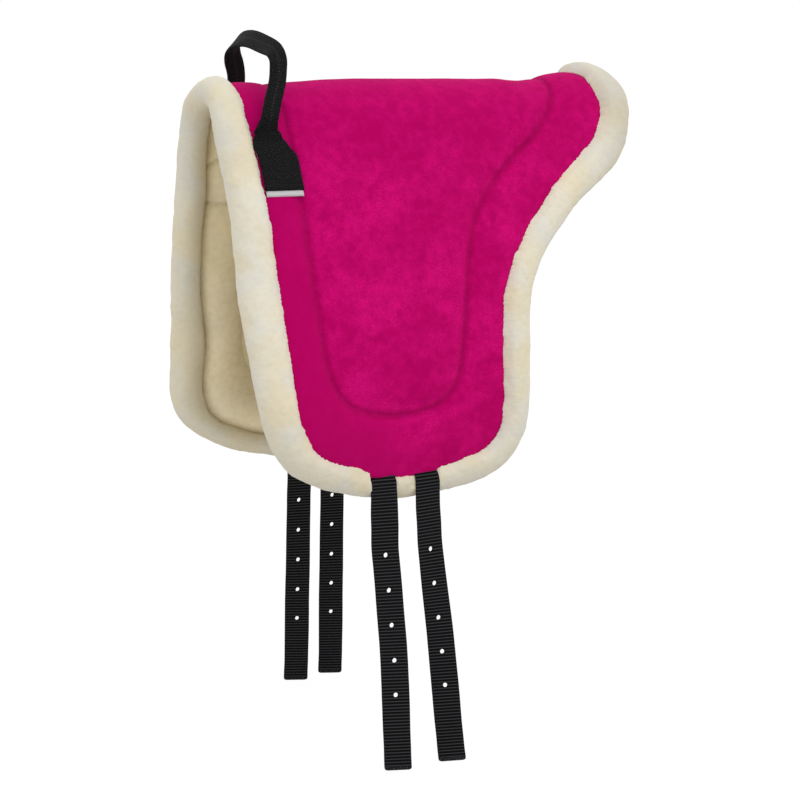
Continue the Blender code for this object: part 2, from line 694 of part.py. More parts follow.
def grab_handle(finish, parts):
    """Folded webbing grip: a strap arched over the ridge, with rounded sewn feet."""
    x, foot_y, foot_z = grip_foot()
    crest_z = 2 * HALF_THICKNESS + GRIP_RISE
    shares = np.array(GRIP_SHARES)
    right = np.stack([foot_y * (1 - shares[:, 0]), foot_z + (crest_z - foot_z) * shares[:, 1]],
                     axis=-1)
    path = np.concatenate((right[:-1], (right * (-1, 1))[::-1]))
    slant = np.concatenate((shares[:-1, 3], shares[::-1, 2])) * GRIP_SLANT
    turn = np.concatenate((shares[:-1, 4], shares[::-1, 4]))
    tangent = np.gradient(path, axis=0)
    tangent[0] = tangent[-1] = (0, 1)
    tangent[-1] = (0, -1)
    tangent /= np.linalg.norm(tangent, axis=1)[:, None]
    outward = np.stack([tangent[:, 1], -tangent[:, 0]], axis=-1)
    shape = np.array(GRIP_ROUNDING_SHARES)

    def section(centre, away, width_share, shift, turn_share):
        angle = turn_share * GRIP_TURN_SHARE * pi
        flat = shape[:, 0] * GRIP_WIDTH / 2 * width_share
        thick = shape[:, 1] * GRIP_THICKNESS / 2
        side_x = x + shift + flat * np.cos(angle) - thick * np.sin(angle)
        spot = centre + (flat * np.sin(angle) + thick * np.cos(angle))[:, None] * away
        return np.column_stack([side_x, spot])

    feet = [(path[0] + (0, drop * GRIP_WIDTH / 2), outward[0], share, 0, 0)
            for drop, share in GRIP_FOOT_SHARES]
    far_feet = [(path[-1] + (0, drop * GRIP_WIDTH / 2), outward[-1], share, 0, 0)
                for drop, share in reversed(GRIP_FOOT_SHARES)]
    spread = 1 + (GRIP_CREST_WIDTH_SHARE - 1) * turn
    body = list(zip(path, outward, spread, slant, turn))
    sections = [section(*entry) for entry in feet + body + far_feet]
    return loft("grab_handle", sections, finish, parts)


def build():
    clear_scene()
    parts = collection("bareback_pad")
    cutters = collection("cutters")
    suede = material("suede", (0.46, 0.0, 0.105), 0.95)
    fleece = material("fleece", (0.75, 0.66, 0.48), 1.0)
    foam_finish = material("foam", (0.62, 0.60, 0.52), 0.9)
    webbing = material("webbing", (0.012, 0.012, 0.013), 0.7)
    patch = material("backing", (0.45, 0.45, 0.46), 0.8)
    finishes = {"cover": suede, "foam": foam_finish, "lining": fleece}

    half_bend = BEND_GAP / 2
    seat, front_line, rear_line = seat_panel(half_bend)
    heights = layer_heights(seat)
    seat_items = {name: layer("seat_" + name, seat, heights[name], RIGHT, finish, parts)
                  for name, finish in finishes.items()}
    edge_roll("pommel_roll", front_line, RIGHT, True, fleece, parts)
    edge_roll("cantle_roll", rear_line, RIGHT, True, fleece, parts)
    seat_arcs = np.array(SEAT_ROW_SHARES) * (BEND_ARC - half_bend - FIT_GAP)
    for place in ("front", "rear"):
        carrier(place + "_carrier_web", place, seat_arcs, RIGHT, webbing, parts, cutters,
                seat_items["foam"])

    flap, hem_line = side_panel(half_bend)
    heights = layer_heights(flap)
    for side in (LEFT, RIGHT):
        label = SIDE_NAMES[side]
        items = {name: layer(f"{label}_{name}", flap, heights[name], side, finish, parts)
                 for name, finish in finishes.items()}
        roll = edge_roll(label + "_skirt_roll", hem_line, side, True, fleece, parts)
        for place in ("front", "rear"):
            hem = billet_hem(place, side)[0]
            arcs = np.linspace(BEND_ARC + half_bend + FIT_GAP, hem - FIT_GAP, 8)
            carrier(f"{label}_{place}_carrier_tail", place, arcs, side, webbing, parts,
                    cutters, items["foam"])
            strap, bed = billet(place, side, webbing, parts, cutters)
            cut(roll, bed)
        handle_tab(side, seat, webbing, patch, parts, cutters)
    grab_handle(webbing, parts)

    bend = drape(0, BEND_ARC, ROLL_RADIUS * BEND_AXIS_SHARE)
    print("right bend axis y z", np.round(bend[1:], 5))
    for place in ("front", "rear"):
        for side in (LEFT, RIGHT):
            axis = (billet_centre(place, side), *billet_axis(place, side))
            print(SIDE_NAMES[side], place, "billet axis x y z", np.round(axis, 5))
    print("handle foot x y z", np.round(grip_foot(), 5))


build()
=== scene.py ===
"""Bareback riding pad, dressed: suede over padding, fleece lining and edge roll, and
black webbing for the handle and the girth billets.

Metres. +X runs to the cantle, +Z is up and the horse's left side is -Y. Soft pieces are
drawn flat first, on a pattern: x along the horse, s down the side from the ridge and t
outward through the thickness. drape lays that pattern over the arch of the back.
"""

from math import pi, radians

import bpy
import numpy as np
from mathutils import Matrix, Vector


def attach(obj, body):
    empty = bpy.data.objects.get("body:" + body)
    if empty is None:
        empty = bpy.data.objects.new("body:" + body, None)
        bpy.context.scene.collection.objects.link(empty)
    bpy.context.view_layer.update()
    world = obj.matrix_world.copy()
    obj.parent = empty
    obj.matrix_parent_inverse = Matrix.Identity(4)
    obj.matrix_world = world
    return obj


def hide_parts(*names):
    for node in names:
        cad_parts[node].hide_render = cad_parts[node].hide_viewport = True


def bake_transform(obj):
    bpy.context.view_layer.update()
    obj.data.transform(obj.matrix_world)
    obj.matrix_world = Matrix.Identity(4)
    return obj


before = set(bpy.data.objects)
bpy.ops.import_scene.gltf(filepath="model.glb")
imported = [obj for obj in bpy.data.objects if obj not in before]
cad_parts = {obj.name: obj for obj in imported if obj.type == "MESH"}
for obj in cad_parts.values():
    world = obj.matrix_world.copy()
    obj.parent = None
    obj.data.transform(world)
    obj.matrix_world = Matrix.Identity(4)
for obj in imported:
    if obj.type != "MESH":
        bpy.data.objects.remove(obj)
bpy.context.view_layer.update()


# The view
# A camera at the photograph's angle, white surroundings, one broad lamp above on the
# left, and a plain floor just under the tips of the hanging billets.

class Value:
    """One output of a node. The signs of arithmetic on it add Math nodes."""

    def __init__(self, nodes, socket):
        self.nodes = nodes
        self.socket = socket

    def math(self, operation, first, second=0):
        return self.nodes.add("ShaderNodeMath", {"operation": operation}, {0: first, 1: second})

    def __add__(self, other):
        return self.math("ADD", self, other)

    def __sub__(self, other):
        return self.math("SUBTRACT", self, other)

    def __mul__(self, other):
        return self.math("MULTIPLY", self, other)

    def __pow__(self, other):
        return self.math("POWER", self, other)

    def __rsub__(self, other):
        return self.math("SUBTRACT", other, self)

    def __abs__(self):
        return self.math("ABSOLUTE", self)

    __radd__ = __add__
    __rmul__ = __mul__


class Nodes:
    """A node tree that nodes are added to by type, settings and socket values."""

    def __init__(self, tree):
        self.tree = tree

    def feed(self, node, values):
        for socket, value in values.items():
            if isinstance(value, Value):
                self.tree.links.new(value.socket, node.inputs[socket])
            else:
                node.inputs[socket].default_value = value

    def add(self, kind, settings=None, values=None, output=0):
        node = self.tree.nodes.new(kind)
        for name, setting in (settings or {}).items():
            setattr(node, name, setting)
        self.feed(node, values or {})
        return Value(self, node.outputs[output])


scene = bpy.context.scene
camera = bpy.data.objects.new("camera", bpy.data.cameras.new("camera"))
camera.data.lens = 69.75
camera.data.sensor_width = 36
camera.data.clip_start = 0.05
camera.location = (-0.8033, -1.5622, 0.01228)
camera.rotation_euler = (pi / 2 - 0.2, 0, radians(-26.9))
scene.collection.objects.link(camera)
scene.camera = camera
scene.view_settings.view_transform = "Standard"

scene.world = bpy.data.worlds.new("white studio")
scene.world.use_nodes = True
air = Nodes(scene.world.node_tree)
air.feed(air.tree.nodes["Background"], {"Color": (1, 1, 1, 1), "Strength": 1})

lamp = bpy.data.objects.new("broad lamp", bpy.data.lights.new("broad lamp", "SUN"))
lamp.data.energy = 0.9
lamp.data.angle = 0.9
lamp.rotation_euler = Vector((-0.12, 0.6, -0.95)).to_track_quat("-Z", "Y").to_euler()
scene.collection.objects.link(lamp)

floor_level = -0.7275
floor_reach = 40
floor_mesh = bpy.data.meshes.new("floor")
floor_mesh.from_pydata([(floor_reach * x, floor_reach * y, floor_level)
                        for x, y in ((-1, -1), (1, -1), (1, 1), (-1, 1))], [], [(0, 1, 2, 3)])
floor = bpy.data.objects.new("floor", floor_mesh)
scene.collection.objects.link(floor)
floor_mesh.materials.append(bpy.data.materials.new("plain floor"))
floor_mesh.materials[0].use_nodes = True
ground = Nodes(floor_mesh.materials[0].node_tree)
ground.feed(ground.tree.nodes["Principled BSDF"], {
    "Base Color": (0.66, 0.66, 0.66, 1), "Roughness": 0.9, "Specular IOR Level": 0.1})
seen_floor = ground.add("ShaderNodeMixShader", {}, {
    0: ground.add("ShaderNodeLightPath", output="Is Camera Ray") * 0.9,
    1: Value(ground, ground.tree.nodes["Principled BSDF"].outputs[0]),
    2: ground.add("ShaderNodeEmission", {}, {"Color": (1, 1, 1, 1), "Strength": 1.05})})
ground.feed(ground.tree.nodes["Material Output"], {"Surface": seen_floor})


# The suede cover
# One skin of napped suede drawn over the padding on both sides of the ridge. A U-shaped
# channel is stitched through it on each side, and its raw edge is sewn in at the roll.

cover_length = 0.4325
side_length = 0.446
half_thickness = 0.00935
cover_thickness = 0.0023
arch_size = (0.115, 0.4495)
front_flare = 0.025
cantle_lift = 0.0125
roll_radius = 0.0232
bend_start, bend_end = 0.136, 0.204
probe = cover_length / 800
side_names = {-1: "left", 1: "right"}
arch_table = np.array([
    (0, 0), (0.207, 0.010), (0.374, 0.040), (0.493, 0.096), (0.571, 0.156),
    (0.660, 0.227), (0.739, 0.295), (0.828, 0.385), (0.906, 0.494), (0.966, 0.610),
    (1, 0.730), (0.990, 0.831), (0.946, 0.919), (0.877, 1)])
outline_table = np.array([
    (0.005, 0), (0.001, 0.09), (0.002, 0.15), (0.006, 0.208), (0.015, 0.292),
    (0.024, 0.376), (0.026, 0.459), (0.027, 0.546), (0.030, 0.629), (0.033, 0.713),
    (0.038, 0.797), (0.050, 0.858), (0.077, 0.903), (0.128, 0.940), (0.205, 0.975),
    (0.291, 0.996), (0.377, 1), (0.466, 0.989), (0.545, 0.968), (0.592, 0.942),
    (0.614, 0.908), (0.622, 0.850), (0.622, 0.794), (0.623, 0.736), (0.628, 0.650),
    (0.643, 0.563), (0.675, 0.497), (0.723, 0.426), (0.780, 0.363), (0.843, 0.302),
    (0.911, 0.249), (0.962, 0.205), (0.989, 0.168), (0.998, 0.135), (0.995, 0.102),
    (0.988, 0.05), (0.985, 0)])
channel_table = np.array([
    (0.094, 0), (0.097, 0.08), (0.101, 0.162), (0.108, 0.317), (0.115, 0.452),
    (0.119, 0.561), (0.124, 0.657), (0.137, 0.752), (0.172, 0.806), (0.250, 0.844),
    (0.332, 0.855), (0.406, 0.849), (0.458, 0.830), (0.492, 0.793), (0.509, 0.739),
    (0.521, 0.670), (0.530, 0.604), (0.550, 0.485), (0.561, 0.440), (0.577, 0.402),
    (0.600, 0.366), (0.634, 0.322), (0.671, 0.284), (0.762, 0.213), (0.820, 0.165),
    (0.853, 0.127), (0.877, 0.075), (0.887, 0)])


def smooth_line(knots, count):
    """Natural cubic curve through the knots: on each chord of length h, with share a
    from its start, the straight line plus h*h/6 times ((1-a)^3 - (1-a)) of the bend at
    the start and (a^3 - a) of the bend at the end. The bends solve one linear system."""
    step = np.linalg.norm(np.diff(knots, axis=0), axis=1)
    place = np.concatenate(([0], np.cumsum(step)))
    inner = np.arange(1, len(knots) - 1)
    system = np.eye(len(knots))
    system[inner, inner - 1] = step[:-1]
    system[inner, inner] = 2 * (step[:-1] + step[1:])
    system[inner, inner + 1] = step[1:]
    pull = np.zeros_like(knots)
    pull[1:-1] = 6 * np.diff(np.diff(knots, axis=0) / step[:, None], axis=0)
    bend = np.linalg.solve(system, pull)
    read = np.linspace(0, place[-1], count)
    cell = np.clip(np.searchsorted(place, read, side="right") - 1, 0, len(step) - 1)
    width = step[cell][:, None]
    ahead = (read - place[cell])[:, None] / width
    behind = 1 - ahead
    return (behind * knots[cell] + ahead * knots[cell + 1]
            + width ** 2 / 6 * ((behind ** 3 - behind) * bend[cell]
                                + (ahead ** 3 - ahead) * bend[cell + 1]))


def run_length(curve):
    """Length along a curve at each of its points."""
    return np.concatenate(([0], np.cumsum(np.linalg.norm(np.diff(curve, axis=0), axis=1))))


def read_line(curve, shares):
    """Points of a curve at the given shares of its length."""
    length = run_length(curve)
    return np.stack([np.interp(np.asarray(shares) * length[-1], length, column)
                     for column in curve.T], axis=-1)


def unit(vectors):
    """The vectors, each divided by its length."""
    return vectors / np.linalg.norm(vectors, axis=-1, keepdims=True)


def nearest(line, place):
    """Index of the line's point nearest to a place."""
    return int(np.argmin(np.linalg.norm(line - place, axis=1)))


def to_pattern(shares):
    """Places on the pattern from shares of the suede's length and of its way down."""
    return (shares - (0.5, 0)) * (cover_length, side_length)


def ease(value, low, high):
    """3a^2 - 2a^3, where a goes from 0 at low to 1 at high."""
    share = np.clip((value - low) / (high - low), 0, 1)
    return share * share * (3 - 2 * share)


arch_half = arch_table * arch_size
arch = smooth_line(np.concatenate((arch_half[:0:-1] * (-1, 1), arch_half)), 2401)
arch_tail = arch[-1] + (arch[-1] - arch[-2]) / np.linalg.norm(arch[-1] - arch[-2]) * 0.2
arch = np.concatenate(([arch_tail * (-1, 1)], arch, [arch_tail]))
arch_run = run_length(arch) - run_length(arch)[len(arch) // 2]
slumps = (
    (-0.178, 0.405, 0.075, 0.075, -0.0055, 0.0130), (-0.21, 0.175, 0.05, 0.042, -0.005, 0),
    (-0.21, 0.31, 0.05, 0.045, 0.0075, 0), (-0.21, 0.072, 0.05, 0.03, 0.003, 0),
    (-0.215, 0.395, 0.032, 0.032, -0.0045, 0.0035))
outline = to_pattern(smooth_line(outline_table, 1201))
channel = to_pattern(smooth_line(channel_table, 1201))
# Rows of the tables where the front turns into the bottom, and the bottom into the rear.
outline_corners = to_pattern(outline_table[[12, 20]])
channel_corners = to_pattern(channel_table[[8, 13]])


def middle_surface(x, s):
    """The middle of the pad: across and down are read off the arch at arc s, the sides
    flare outward near the pommel, and the ridge lifts at the cantle and droops a little
    at the pommel."""
    across = np.interp(s, arch_run, arch[:, 0])
    down = np.interp(s, arch_run, arch[:, 1])
    arc = np.abs(s)
    near_pommel = 1 - ease(x, -cover_length / 2 - roll_radius, -cover_length * 0.155)
    flare = front_flare * near_pommel * ease(arc, 0.187, side_length * 0.89)
    near_ridge = 1 - ease(arc, side_length * 0.0504, side_length * 0.28)
    lift = cantle_lift * ease(x, cover_length * 0.265, cover_length / 2)
    droop = 0.004 * (1 - ease(x, -0.15, -0.07))
    height = half_thickness - down + (lift - droop) * near_ridge
    return np.stack([x + 0 * s, across + np.sign(s) * flare, height], axis=-1)


def drape(x, s, t):
    """The point of the middle surface at (x, s), plus t along the surface's normal. The
    soft right side has slumped: each row of slumps gives a centre, the widths along and
    down, and two pulls, and moves the pattern by those pulls times exp(-distance^2)."""
    x, s, t = np.broadcast_arrays(*(np.asarray(v, float) for v in (x, s, t)))
    moved_x, moved_s = x, s
    for centre_x, centre_s, wide, tall, along, down in slumps:
        near = np.exp(-((x - centre_x) / wide) ** 2 - ((s - centre_s) / tall) ** 2)
        moved_x, moved_s = moved_x + along * near, moved_s + down * near
    x, s = moved_x, moved_s
    along = middle_surface(x + probe, s) - middle_surface(x - probe, s)
    around = middle_surface(x, s + probe) - middle_surface(x, s - probe)
    return middle_surface(x, s) + t[..., None] * unit(np.cross(along, around))


def waves(points, size, seed):
    """Smooth seeded noise from -1 to 1: a random number at each corner of a lattice
    with the given cell, blended by the eased share of the way across the cell."""
    cell = np.asarray(points, float) / size
    base = np.floor(cell).astype(int)
    part = ease(cell - base, 0, 1)
    table = np.random.default_rng(seed).uniform(-1, 1, 4096)
    total = 0
    for corner in np.ndindex(*(2,) * cell.shape[-1]):
        weight = np.prod(np.where(corner, part, 1 - part), axis=-1)
        key = ((base + corner) * (73, 1571, 33767)[:cell.shape[-1]]).sum(axis=-1) % 4096
        total = total + weight * table[key]
    return total


def distance_to(line, points):
    """Shortest distance from each point to a line of short straight steps: the point's
    share along each step is clipped to 0 and 1, and the nearest step wins."""
    start = (line[:-1, 0] + 1j * line[:-1, 1])[None]
    step = np.diff(line[:, 0] + 1j * line[:, 1])[None]
    found = []
    for block in np.array_split(points[:, 0] + 1j * points[:, 1], 12):
        away = block[:, None] - start
        share = np.clip((away * step.conj()).real / np.abs(step) ** 2, 0, 1)
        found.append(np.abs(away - share * step).min(axis=1))
    return np.concatenate(found)


def graded(count):
    """Shares from 0 to 1 that lie closer together at both ends: half even, half cosine."""
    even = np.linspace(0, 1, count)
    return 0.5 * even + 0.25 * (1 - np.cos(pi * even))


def pattern_runs(line, corners, down, across):
    """Front, bottom and rear of a pattern line, parted at its lower corners. The front
    and the rear are read at shares of the arc down, the bottom at shares of its length."""
    first, second = (nearest(line, corner) for corner in corners)
    front_arc, rear_arc = down * line[first, 1], down * line[second, 1]
    front_part, rear_part = line[:first + 1], line[second:][::-1]
    front = np.stack([np.interp(front_arc, front_part[:, 1], front_part[:, 0]), front_arc], -1)
    rear = np.stack([np.interp(rear_arc, rear_part[:, 1], rear_part[:, 0]), rear_arc], -1)
    return front, read_line(line[first:second + 1], across), rear


def grid_quads(rows, columns):
    """Quads between neighbouring rows and columns of a grid."""
    ids = np.arange(rows * columns).reshape(rows, columns)
    return np.stack([ids[:-1, :-1], ids[:-1, 1:], ids[1:, 1:], ids[1:, :-1]], -1).reshape(-1, 4)


def closed_shell(quads, count):
    """The outer quads, the same quads turned over for the inner face, and a rim quad
    along every edge that only one quad uses."""
    edges = np.concatenate([quads[:, (k, (k + 1) % 4)] for k in range(4)])
    _, index, used = np.unique(np.sort(edges, axis=1) @ (count, 1), return_index=True,
                               return_counts=True)
    a, b = edges[index[used == 1]].T
    rim = np.stack([b, a, a + count, b + count], axis=-1)
    return np.concatenate((quads, quads[:, ::-1] + count, rim))


def at_billets(x, arc):
    """1 along the hem where the billets come out, eased to 0 on both sides of them."""
    return ease(x, -0.113, -0.107) * (1 - ease(x, -0.03, -0.02)) * (arc > side_length * 0.9)


def quilt(rows, columns, band, past=lambda line: 0, dip=0):
    """One side's pattern, whose mesh lines follow the channel. Inside the channel it is
    a Coons patch: the blend of front and rear, plus the blend of ridge and bottom, less
    the blend of the four corners. Outside it, straight lines run to the edge, which lies
    past the outline by the given function of the place, and by the dip where the billets
    come out. Returns points, the quads of a closed shell through them and their copies,
    distance past the channel (minus inside) and distance from the edge."""
    down, across, out = graded(rows), graded(columns), graded(band)
    front, bottom, rear = pattern_runs(channel, channel_corners, down, across)
    outer = pattern_runs(outline, outline_corners, down, across)
    u, v = across[None, :, None], down[:, None, None]
    top = front[0] + (rear[0] - front[0]) * across[:, None]
    seat = ((1 - u) * front[:, None] + u * rear[:, None] + (1 - v) * top[None]
            + v * bottom[None] - (1 - v) * ((1 - u) * front[0] + u * rear[0])
            - v * ((1 - u) * bottom[0] + u * bottom[-1]))
    line_in = np.concatenate((front[:-1], bottom, rear[-2::-1]))
    line_out = np.concatenate((outer[0][:-1], outer[1], outer[2][-2::-1]))
    heading = np.gradient(line_out, axis=0)
    away = unit(np.stack([-heading[:, 1], heading[:, 0] * (line_out[:, 1] > 0.004)], axis=-1))
    spare = past(line_out) + dip * at_billets(line_out[:, 0], line_out[:, 1])
    line_out = line_out + away * spare[:, None]
    strip = line_in[:, None] + (line_out - line_in)[:, None] * out[:, None]
    points = np.concatenate((seat.reshape(-1, 2), strip.reshape(-1, 2)))
    quads = np.concatenate((grid_quads(rows, columns),
                            grid_quads(len(line_in), band) + rows * columns))
    gap = distance_to(read_line(channel, np.linspace(0, 1, 321)), points)
    gap[:rows * columns] *= -1
    edge = distance_to(line_out, points)
    _, index, merged = np.unique(np.round(points / 1e-6), axis=0, return_index=True,
                                 return_inverse=True)
    shell = closed_shell(merged.ravel()[quads], len(index))
    return points[index], shell, gap[index], edge[index]


def make_piece(name, points, quads, finish, uv=None, fields=None, fans=None):
    """A mesh object from arrays: its quads, and any triangles in fans. All are turned
    over together where the volume that they enclose comes out negative."""
    a, b, c, d = points[quads.T]
    volume = np.sum(a * np.cross(b, c)) + np.sum(a * np.cross(c, d))
    kinds = [quads] if fans is None else [quads, fans]
    kinds = [kind if volume > 0 else kind[:, ::-1] for kind in kinds]
    corners = np.concatenate([kind.ravel() for kind in kinds])
    sizes = np.concatenate([np.full(len(kind), kind.shape[1]) for kind in kinds])
    mesh = bpy.data.meshes.new(name)
    mesh.vertices.add(len(points))
    mesh.vertices.foreach_set("co", points.ravel().astype(np.float32))
    mesh.loops.add(len(corners))
    mesh.loops.foreach_set("vertex_index", corners.astype(np.int32))
    mesh.polygons.add(len(sizes))
    mesh.polygons.foreach_set(
        "loop_start", np.concatenate(([0], np.cumsum(sizes)[:-1])).astype(np.int32))
    mesh.update(calc_edges=True)
    mesh.validate()
    if uv is not None:
        layer = mesh.uv_layers.new(name="pattern")
        layer.data.foreach_set("uv", uv[corners].ravel().astype(np.float32))
    for label, values in (fields or {}).items():
        field = mesh.attributes.new(label, "FLOAT", "POINT")
        field.data.foreach_set("value", values.astype(np.float32))
    mesh.shade_smooth()
    mesh.set_sharp_from_angle(angle=radians(50))
    mesh.materials.append(finish)
    item = bpy.data.objects.new(name, mesh)
    scene.collection.objects.link(item)
    return item


def sink(x, arc):
    """How much lower the suede lies at the cantle, where the roll stands above it."""
    return 0.0038 * ease(x, 0.105, 0.15) * (1 - ease(arc, 0.03, 0.11))


def cover_height(x, arc, side, gap, edge):
    """Height of the suede. Inside the channel, the seat crown times 1 - (1 - d)^3, where
    d is the distance from the channel over 0.11; outside it, the band crown times
    1 - |2p - 1|^3, where p is the share of the way over the band. Less a groove that
    falls off as exp(-distance^2), and the tuck at the edge. Crown and groove are lower
    near the ridge. Plus slow seeded waves, and on the left side less two short wrinkles
    at the rear billet."""
    seat_crown, crown_reach, band_crown = 0.004, 0.11, 0.0017
    inside = 1 - (1 - np.clip(-gap / crown_reach, 0, 1)) ** 3
    flatter = 0.45 + 0.55 * ease(arc, 0, 0.125)
    across_band = np.clip(gap / (gap + edge + 1e-9), 0, 1)
    on_band = np.where(gap > 0, 1 - np.abs(2 * across_band - 1) ** 3, 0)
    groove = 0.0015 * np.exp(-(gap / 0.0036) ** 2) + 0.0019 * np.exp(-(gap / 0.0105) ** 2)
    groove = groove * (0.4 + 0.6 * ease(arc, 0.01, 0.045))
    tuck = 0.0007 * np.exp(-edge / 0.003)
    place = np.stack([x, arc * side], axis=-1)
    turned = place @ np.array([[0.8, 0.6], [-0.6, 0.8]])
    slack = 0.0006 * waves(turned, 0.055, 3) + 0.00025 * waves(place, 0.021, 4)
    pucker = 0.00035 * np.exp(-np.abs(gap) / 0.011) * waves(turned, 0.0085, 5)
    wrinkle = sum(np.exp(-((x + at - 0.18 * (arc - 0.43)) / 0.0017) ** 2)
                  for at in (0.021, 0.029)) * np.exp(-((arc - 0.428) / 0.011) ** 2)
    slack = slack - 0.0007 * wrinkle * (side < 0)
    return (half_thickness + seat_crown * flatter * inside + band_crown * on_band - groove
            - tuck - sink(x, arc) + (slack + pucker) * (1 - np.exp(-edge / 0.006)))


class Finish(Nodes):
    """A material whose Principled shader gets its constants first."""

    def __init__(self, name, constants):
        self.material = bpy.data.materials.new(name)
        self.material.use_nodes = True
        super().__init__(self.material.node_tree)
        self.shader = self.tree.nodes["Principled BSDF"]
        self.feed(self.shader, constants)

    def place(self, coordinates="Object"):
        return self.add("ShaderNodeTexCoord", output=coordinates)

    def axis(self, place, name):
        return self.add("ShaderNodeSeparateXYZ", {}, {0: place}, name)

    def field(self, name):
        """A value stored at the mesh's points."""
        return self.add("ShaderNodeAttribute", {"attribute_name": name}, {}, "Fac")

    def sine(self, value, half_wave):
        return value.math("SINE", value * (pi / half_wave))

    def speckle(self, place, size, detail=2, roughness=0.5):
        """Noise from 0 to 1 whose blotches are about the given size."""
        return self.add("ShaderNodeTexNoise", {}, {
            "Vector": place, "Scale": 1 / size, "Detail": detail, "Roughness": roughness})

    def between(self, value, low, high):
        """0 below low, 1 above high, eased between."""
        return self.add("ShaderNodeMapRange", {"interpolation_type": "SMOOTHSTEP"},
                        {"Value": value, "From Min": low, "From Max": high})

    def mix(self, factor, first, second):
        return self.add("ShaderNodeMix", {"data_type": "RGBA"},
                        {0: factor, 6: first, 7: second}, 2)

    def bump(self, height, distance, strength=1):
        return self.add("ShaderNodeBump", {}, {
            "Height": height, "Distance": distance, "Strength": strength})


suede = Finish("fuchsia suede", {
    "Roughness": 0.95, "Specular IOR Level": 0.04, "Sheen Weight": 0.06,
    "Sheen Roughness": 0.5, "Sheen Tint": (1, 0.2, 0.55, 1)})
here = suede.place()
low_down = 1 - suede.between(suede.axis(here, "Z"), -0.12, 0)
forward = 1 - suede.between(suede.axis(here, "X"), -0.1, -0.04)
patch = suede.between(suede.speckle(here, 0.05, 3, 0.62), 0.32, 0.74) * (low_down * 0.7 + 0.3)
brushed = suede.speckle(here, 0.011, 3, 0.65)
grain = suede.speckle(here, 0.0013, 2, 0.6)
nap = patch * 0.38 + suede.between(grain, 0.5, 0.74) * (patch * 1.3 + 0.15) + (
    suede.between(brushed, 0.3, 0.75) * 0.38 - 0.11)
gap_here = suede.field("channel_gap")
nap = nap * (1 - forward * suede.between(gap_here, 0, 0.004) * 0.75)
# Painted shade along the stitched channel: near it the suede is mixed toward dark fuchsia,
# unevenly.
channel_painted_shade = (1 - suede.between(abs(gap_here), 0, 0.0075)) * (
    suede.speckle(here, 0.05, 2) * 1.1 - 0.05)
lit = suede.mix(nap, (0.395, 0.0, 0.094, 1), (0.625, 0.004, 0.170, 1))
suede.feed(suede.shader, {
    "Base Color": suede.mix(channel_painted_shade * 0.75, lit, (0.22, 0.0, 0.05, 1)),
    "Normal": suede.bump(grain * 0.6 + suede.speckle(here, 0.0035, 3) * 0.5, 0.0002, 0.6)})

points, shell, gap, edge = quilt(168, 150, 24, lambda line: 0.0026, 0.0018)
for side, label in side_names.items():
    height = cover_height(points[:, 0], points[:, 1], side, gap, edge)
    outer, inner = (drape(points[:, 0], points[:, 1] * side, t)
                    for t in (height, height - cover_thickness))
    cover = make_piece("suede_cover_" + label, np.concatenate((outer, inner)), shell,
                       suede.material, np.tile(points, (2, 1)),
                       {"channel_gap": np.tile(gap, 2)})
    drape(0, bend_start * side, 0)
    drape(0, bend_end * side, 0)
    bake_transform(cover)
    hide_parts("seat_cover", label + "_cover")


# The padding
# Sheet padding about 11 mm thick, cut to the same pattern as the suede and quilted to it
# along the channel. It is closed in between the suede and the lining.

padding_finish = Finish("sheet padding", {"Roughness": 0.95, "Specular IOR Level": 0.1})
here = padding_finish.place()
fibres = padding_finish.speckle(here, 0.0022, 3, 0.7)
padding_finish.feed(padding_finish.shader, {
    "Base Color": padding_finish.mix(fibres, (0.52, 0.5, 0.43, 1), (0.7, 0.68, 0.6, 1)),
    "Normal": padding_finish.bump(fibres, 0.0006)})
lining_room = 0.0052
points, shell, gap, edge = quilt(60, 50, 9)
for side, label in side_names.items():
    top = cover_height(points[:, 0], points[:, 1], side, gap, edge) - cover_thickness - 0.0004
    bottom = 0.0021 * np.exp(-np.abs(gap) / 0.006) - half_thickness + lining_room
    padding = make_piece("padding_" + label, np.concatenate([
        drape(points[:, 0], points[:, 1] * side, t) for t in (top, bottom)]), shell,
        padding_finish.material)
    drape(0, bend_start * side, 0)
    drape(0, bend_end * side, 0)
    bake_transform(padding)
    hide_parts("seat_foam", label + "_foam")


# The fleece lining
# Short dense cream fleece over the whole underside. The quilting pulls a shallow channel
# into it, and a furrow runs where it meets the edge roll.

